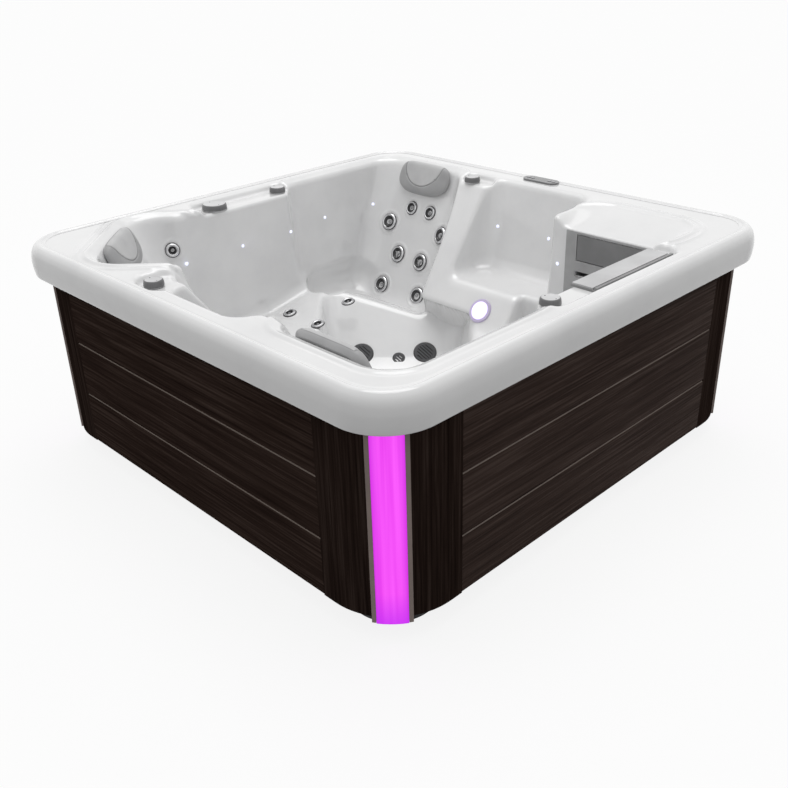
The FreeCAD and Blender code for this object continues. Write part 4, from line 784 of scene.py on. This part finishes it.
def knobPieces(name, radius):
    low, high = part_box(name)
    place = np.array([(low.x + high.x) / 2, (low.y + high.y) / 2, ledgeLevel])
    foot, height = knobSet["foot"], knobSet["top"]

    def flutes(ring, angle):
        tall = (ring[:, 1:] > foot + 0.002) & (ring[:, 1:] < height - 0.005)
        return 1 - knobSet["fluteDeep"] * tall * (0.5 + 0.5 * np.cos(angle * knobSet["flutes"]))[None]

    side = softened([(radius - 0.0085, height - 0.0012), (radius - 0.0062, height - 0.0008),
                     (radius - 0.0034, height - 0.0030), (radius - 0.0018, height - 0.0070),
                     (radius - 0.0004, foot + 0.0050), (radius - 0.0004, foot + 0.0014),
                     (radius - 0.0020, foot), (radius * 0.5, foot)])
    cap = softened([(0, height - 0.0016), (radius * 0.55, height - 0.0014),
                    (radius - 0.0115, height - 0.0006), (radius - 0.0088, height),
                    (radius - 0.0068, height - 0.0004), (radius - 0.0064, height - 0.0022)])
    for part, profile, ripple, finish in (("side", side, flutes, "knobDark"), ("cap", cap, None, "knob")):
        points, faces = lathe(profile, knobSet["around"], ripple)
        piece = meshFrom("%s_%s" % (name, part), points + place, faces, finish)
        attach(piece, name)
        if part == "side":
            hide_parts(name)
    marks = []
    for way in (-1, 1):
        spot, faces = lathe(softened([(0, 0.0006), (0.0022, 0.0005), (0.0028, -0.0008)]), 14)
        marks.append((spot + place + np.array([way * radius * knobSet["markAt"], 0, height - 0.0012]), faces))
    piece = meshFrom("%s_marks" % name, *joined(marks), "jetDark")
    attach(piece, name)


for name in nodes:
    if "knob" in name:
        knobPieces(name, knobSet["big"] if name == "diverter_knob" else knobSet["small"])
print("knobs made")

# pillows: barrel outline, a flatter face inside an arched seam, soft drawn-in sides
pillowSet = dict(places=dict(pillow_far=("bucket", 0, -0.5882, 0.816),
                             pillow_front=("bucket", 180, 0.5882, -0.816),
                             pillow_left=("cornerSeat", 0, -0.714, -0.714)),
                 level=0.7616, half=(0.153, 0.074), thick=0.045, rings=100, spokes=288, frontShare=0.74,
                 powers=(2 / 5.5, 2 / 3.4), narrowing=(0.13, 0.20), seam=(0.112, 0.107), seamAt=0.92,
                 groove=0.0034, grooveWide=0.030, fade=(1.03, 0.06), fall=0.36, bow=0.05, rest=0.42,
                 tuck=0.10, gap=0.0004)


def pillowMesh():
    # rings from the middle of the face over the edge to the back; the outline is a superellipse narrowed at
    # top and bottom, the face falls away outside the seam's ellipse and drops at the edge, and the seam is a
    # fine groove
    m = pillowSet
    (wide, high), thick, count, cut = m["half"], m["thick"], m["spokes"], m["frontShare"]
    t = np.linspace(0.0, 1.0, m["rings"])[:, None]
    a = (np.arange(count) / count * 2 * math.pi)[None]
    power = np.where(np.sin(a) > 0, *m["powers"])
    ox = np.sign(np.cos(a)) * np.abs(np.cos(a)) ** power
    oy = np.sign(np.sin(a)) * np.abs(np.sin(a)) ** power
    upper, lower = m["narrowing"]
    narrow = 1 - upper * np.maximum(oy, 0) ** 2 - lower * np.maximum(-oy, 0) ** 2
    front = t < cut
    out = np.where(front, t / cut, 1.0)
    share = np.clip((t - cut) / (1 - cut), 0, 1)
    x = ox * wide * out * (1 - (1 - narrow) * out)
    y = oy * high * out
    oval = np.sqrt((x / m["seam"][0]) ** 2 + ((y - high * m["seamAt"]) / m["seam"][1]) ** 2)
    beyond = np.clip(oval - 1.0, 0, 1.2)
    face = thick * (1 - m["fall"] * beyond ** 1.3 - m["bow"] * (x / wide) ** 2)
    edge = (1 - np.clip(out, 0, 1) ** 7) ** 0.5
    rest = thick * m["rest"]
    z = rest + (face - rest) * edge
    z -= m["groove"] * np.exp(-((oval - 1.0) / m["grooveWide"]) ** 2) * (edge > 0.2)
    z = np.where(front, z, rest * (1 - share) + m["gap"])
    start, soft = m["fade"]
    inside = (np.clip((start - oval) / soft, 0, 1) * front)[1:].reshape(-1)
    pull = 1 - m["tuck"] * share ** 2
    x, y = np.where(front, x, ox * wide * narrow * pull), np.where(front, y, oy * high * pull)
    points = np.stack([x, y, z], -1)[1:]
    faces = gridFaces(len(points), count, True)[:, ::-1].tolist()
    last = (len(points) - 1) * count
    flat = np.concatenate([points.reshape(-1, 3), [[0, 0, points[0, :, 2].mean()], [0, 0, m["gap"]]]])
    faces += [(len(flat) - 2, k, (k + 1) % count) for k in range(count)]
    faces += [(len(flat) - 1, last + (k + 1) % count, last + k) for k in range(count)]
    return flat, faces, np.concatenate([inside, [1.0, 0.0]])


padPoints, padFaces, padInside = pillowMesh()
for name, (wallName, degrees, x, y) in pillowSet["places"].items():
    spot = wallSpot(wallName, degrees, x, y, pillowSet["level"])
    piece = meshFrom(name + "_pad", seat(padPoints, spot), padFaces, "pillow")
    piece.data.attributes.new("face", "FLOAT", "POINT").data.foreach_set("value", padInside)
    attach(piece, name)
    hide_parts(name)
print("pillows made")


# beads pressed in the rim: hollow, turn, distance from its edge, half width and height
beadSet = [("cornerSeat", 0, 0.038, 0.0115, 0.0085), ("cornerSeat", 0, 0.070, 0.0105, 0.0052),
           ("bucket", 0, 0.038, 0.0115, 0.0060), ("bucket", 180, 0.038, 0.0115, 0.0060),
           ("pod", 0, 0.030, 0.0115, 0.0070), ("pod", 0, 0.060, 0.0105, 0.0045)]
# relief: height where beads begin, widths over which they fade out, the ring round each flange and its pad
reliefSet = dict(rimFrom=0.800, rimOver=0.018, edgeFade=0.022, ledgeFade=0.035, ring=1.34, ringWide=0.0055,
                 ringRise=0.0030, pad=1.15, padFade=0.012, padShare=0.9, near=0.03)
# edge of the skin, as an outline like those of the hollows
reachShare = shellSet["edge"] / basin
skinEdge = (-reachShare, reachShare, -reachShare, reachShare, reachShare - shellSet["cornerCentre"] / basin)


def dimpled(points, normals):
    # a low raised ring beyond each jet's flange that sinks back to the sheet, and the beads of the rim
    m = reliefSet
    flat = points.reshape(-1, 3)
    x, y, z = flat.T
    lift = np.zeros(len(flat))
    high = np.clip((z - m["rimFrom"]) / m["rimOver"], 0, 1)
    for name, degrees, away, width, rise in beadSet:
        outline = hollowSet.get(name, podSet)
        gap = planGap(*turnPlan(x, y, outline["turns"][0] + degrees), 1.0, outline["low"], outline["high"])
        lift = np.maximum(lift, rise * high * np.exp(-((gap - away) / width) ** 2))
    lift *= np.clip(-planGap(x, y, 0.0, skinEdge, skinEdge) / m["edgeFade"], 0, 1)
    for row in ledgeSet:
        lift *= np.clip(planGap(x, y, 0.0, row, row) / m["ledgeFade"], 0, 1)
    for jet in jets:
        flange = jetSet["kinds"][jet["kind"]][0]
        place, normal = (np.array(v) for v in jet["spot"])
        offset = flat - place
        depth = offset @ normal
        radial = np.sqrt(np.maximum((offset ** 2).sum(1) - depth ** 2, 0))
        bell = np.exp(-((radial - flange * m["ring"]) / m["ringWide"]) ** 2) * m["ringRise"]
        bell += jet["stand"] * np.clip((flange * m["pad"] - radial) / m["padFade"], 0, 1) * m["padShare"]
        lift = np.maximum(lift, bell * (np.abs(depth) < m["near"]))
    return points + (normals.reshape(-1, 3) * lift[:, None]).reshape(points.shape)


easeSet = dict(steps=8, pull=0.6, probe=0.0005, normalProbe=0.0006, leastSlope=0.2, cap=0.004)


def fieldNormals(points):
    # directions into the air, from the field's own slope
    flat = points.reshape(-1, 3)
    steps = np.eye(3) * easeSet["normalProbe"]
    slope = np.stack([airField(flat + s) - airField(flat - s) for s in steps], -1)
    slope /= np.linalg.norm(slope, axis=1, keepdims=True) + 1e-12
    return -slope.reshape(points.shape)


def relaxed(points):
    # evens out the net: each inner point goes part of the way to the mean of its four neighbours, then back
    # to the sheet along the field's slope, by the field's value over the slope's square
    d, pull = easeSet["probe"], easeSet["pull"]
    for step in range(easeSet["steps"]):
        around = (np.roll(points, 1, axis=0) + np.roll(points, -1, axis=0))[:, 1:-1]
        mean = (around + points[:, :-2] + points[:, 2:]) * 0.25
        moved = points[:, 1:-1] * (1 - pull) + mean * pull
        flat = moved.reshape(-1, 3)
        value = airField(flat)
        slope = np.stack([airField(flat + s) - value for s in np.eye(3) * d], -1) / d
        steepness = np.maximum((slope ** 2).sum(1), easeSet["leastSlope"])
        shift = slope * ((value - shellSet["sink"]) / steepness)[:, None]
        length = np.linalg.norm(shift, axis=1, keepdims=True)
        flat -= shift * np.minimum(1.0, easeSet["cap"] / np.maximum(length, 1e-9))
        points = points.copy()
        points[:, 1:-1] = flat.reshape(moved.shape)
    return points


grid = relaxed(shellGrid())
grid = dimpled(grid, fieldNormals(grid))
print("shell skin solved:", grid.shape)


doorSet = dict(y=0.572, deep=0.02, x=(0.438, 0.722), z=(0.603, 0.768))


def shellQuarter(index):
    # one quarter of the skin as its own piece, with the skimmer doorway left out
    columns = grid.shape[0] // 4
    pick = (np.arange(columns + 1) + index * columns) % grid.shape[0]
    points = grid[pick, 1:]
    rows = points.shape[1]
    quads = gridFaces(columns + 1, rows)
    flat = points.reshape(-1, 3)
    x, y, z = flat[quads].mean(1).T
    (x0, x1), (z0, z1) = doorSet["x"], doorSet["z"]
    doorway = (np.abs(y - doorSet["y"]) < doorSet["deep"]) & (x > x0) & (x < x1) & (z > z0) & (z < z1)
    hub = len(flat)
    fan = [(hub, c * rows, (c + 1) * rows) for c in range(columns)]
    flat = np.concatenate([flat, grid[:1, 0]])
    return meshFrom("shell_skin_%d" % (index + 1), flat, quads[~doorway].tolist() + fan, "acrylic")


shellPieces = [shellQuarter(k) for k in range(4)]

# lip: half width and height of its profile, from the skin's edge over the ridge and round the lower edge
lipSet = dict(steps=4, profile=(
    (0.940, 0.826), (0.9450, 0.8257), (0.9500, 0.8248), (0.9550, 0.8262), (0.9600, 0.8293), (0.9650, 0.8302),
    (0.971, 0.8289), (0.978, 0.8252), (0.988, 0.8150), (0.9955, 0.799), (0.9995, 0.776), (1.000, 0.758),
    (0.9985, 0.738), (0.9955, 0.720), (0.9925, 0.7135), (0.988, 0.712), (0.984, 0.716), (0.984, 0.780)))


def lipPiece():
    # the lip's profile carried round the round-cornered square
    rows = []
    for half, height in softened(lipSet["profile"], lipSet["steps"]):
        path = rimPath(half)
        rows.append(np.column_stack([path, np.full(len(path), height)]))
    points = np.stack(rows)
    faces = gridFaces(len(rows), points.shape[1], True)[:, ::-1].tolist()
    return meshFrom("shell_lip", points, faces, "acrylic")


shellPieces.append(lipPiece())
for piece in shellPieces:
    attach(piece, "tub")
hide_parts("acrylic_shell")
print("shell pieces:", len(shellPieces))

# stage: pale floor that keeps the shadow, white all round for the eye and for reflections
stageSet = dict(size=60.0, floor=(0.92, 0.92, 0.92), dull=(0.15, 0.15, 0.15), lift=0.86, ambient=0.64,
                sun=0.85, sunFrom=(-0.12, 0.18, 1.0), sunWide=40.0, key=18.0, keyFrom=(-0.8, 0.9, 3.6),
                keyTo=(0, 0, 0.4), keyWide=3.0)
white = (1, 1, 1, 1)


def stageFloor():
    s = Shader("pale_floor")
    drift = s.noise(s.place(), 1.5, 3.0)
    ray = s.add("LightPath")
    pale = s.blend(drift, rgba(stageSet["floor"], 0.98), rgba(stageSet["floor"]))
    tone = s.blend(ray.out("Is Camera Ray"), rgba(stageSet["dull"]), pale)
    body = s.add("BsdfDiffuse", None, {"Color": tone})
    glow = s.add("Emission", None, {"Color": white, "Strength": 1.0})
    seen = ray.out("Is Camera Ray") + ray.out("Is Glossy Ray") + ray.out("Is Transmission Ray")
    mix = s.add("MixShader", None, {0: seen * stageSet["lift"], 1: body.out("BSDF"), 2: glow.out("Emission")})
    s.add("OutputMaterial", None, {"Surface": mix.out("Shader")})
    half = stageSet["size"] / 2
    data = bpy.data.meshes.new("floor")
    corners = [(-half, -half, 0), (half, -half, 0), (half, half, 0), (-half, half, 0)]
    data.from_pydata(corners, [], [(0, 1, 2, 3)])
    data.materials.append(s.owner)
    floor = bpy.data.objects.new("floor", data)
    bpy.context.scene.collection.objects.link(floor)


stageFloor()
world = bpy.data.worlds.new("studio")
bpy.context.scene.world = world
s = Shader("studio", world)
ray = s.add("LightPath")
seen = s.math("MAXIMUM", ray.out("Is Camera Ray"), ray.out("Is Transmission Ray"))
seen = s.math("MAXIMUM", seen, ray.out("Is Glossy Ray"))
soft = s.add("Background", None, {"Color": white, "Strength": stageSet["ambient"]}).out("Background")
bright = s.add("Background", None, {"Color": white, "Strength": 1.0}).out("Background")
shown = s.add("MixShader", None, {0: seen, 1: soft, 2: bright}).out("Shader")
s.add("OutputWorld", None, {"Surface": shown})


def lamp(name, kind, power, place, aim, **settings):
    # a light at a place that shines along aim
    data = bpy.data.lights.new(name, kind)
    data.energy = power
    for key, value in settings.items():
        setattr(data, key, value)
    light = bpy.data.objects.new(name, data)
    light.location = place
    light.rotation_euler = aim.to_track_quat("-Z", "Y").to_euler()
    bpy.context.scene.collection.objects.link(light)


keyFrom = Vector(stageSet["keyFrom"])
keyAim = Vector(stageSet["keyTo"]) - keyFrom
lamp("key", "AREA", stageSet["key"], keyFrom, keyAim, shape="SQUARE", size=stageSet["keyWide"])
sunAim = -Vector(stageSet["sunFrom"])
lamp("sky_sheet", "SUN", stageSet["sun"], (0, 0, 0), sunAim, angle=math.radians(stageSet["sunWide"]))
print("stage and lights set")
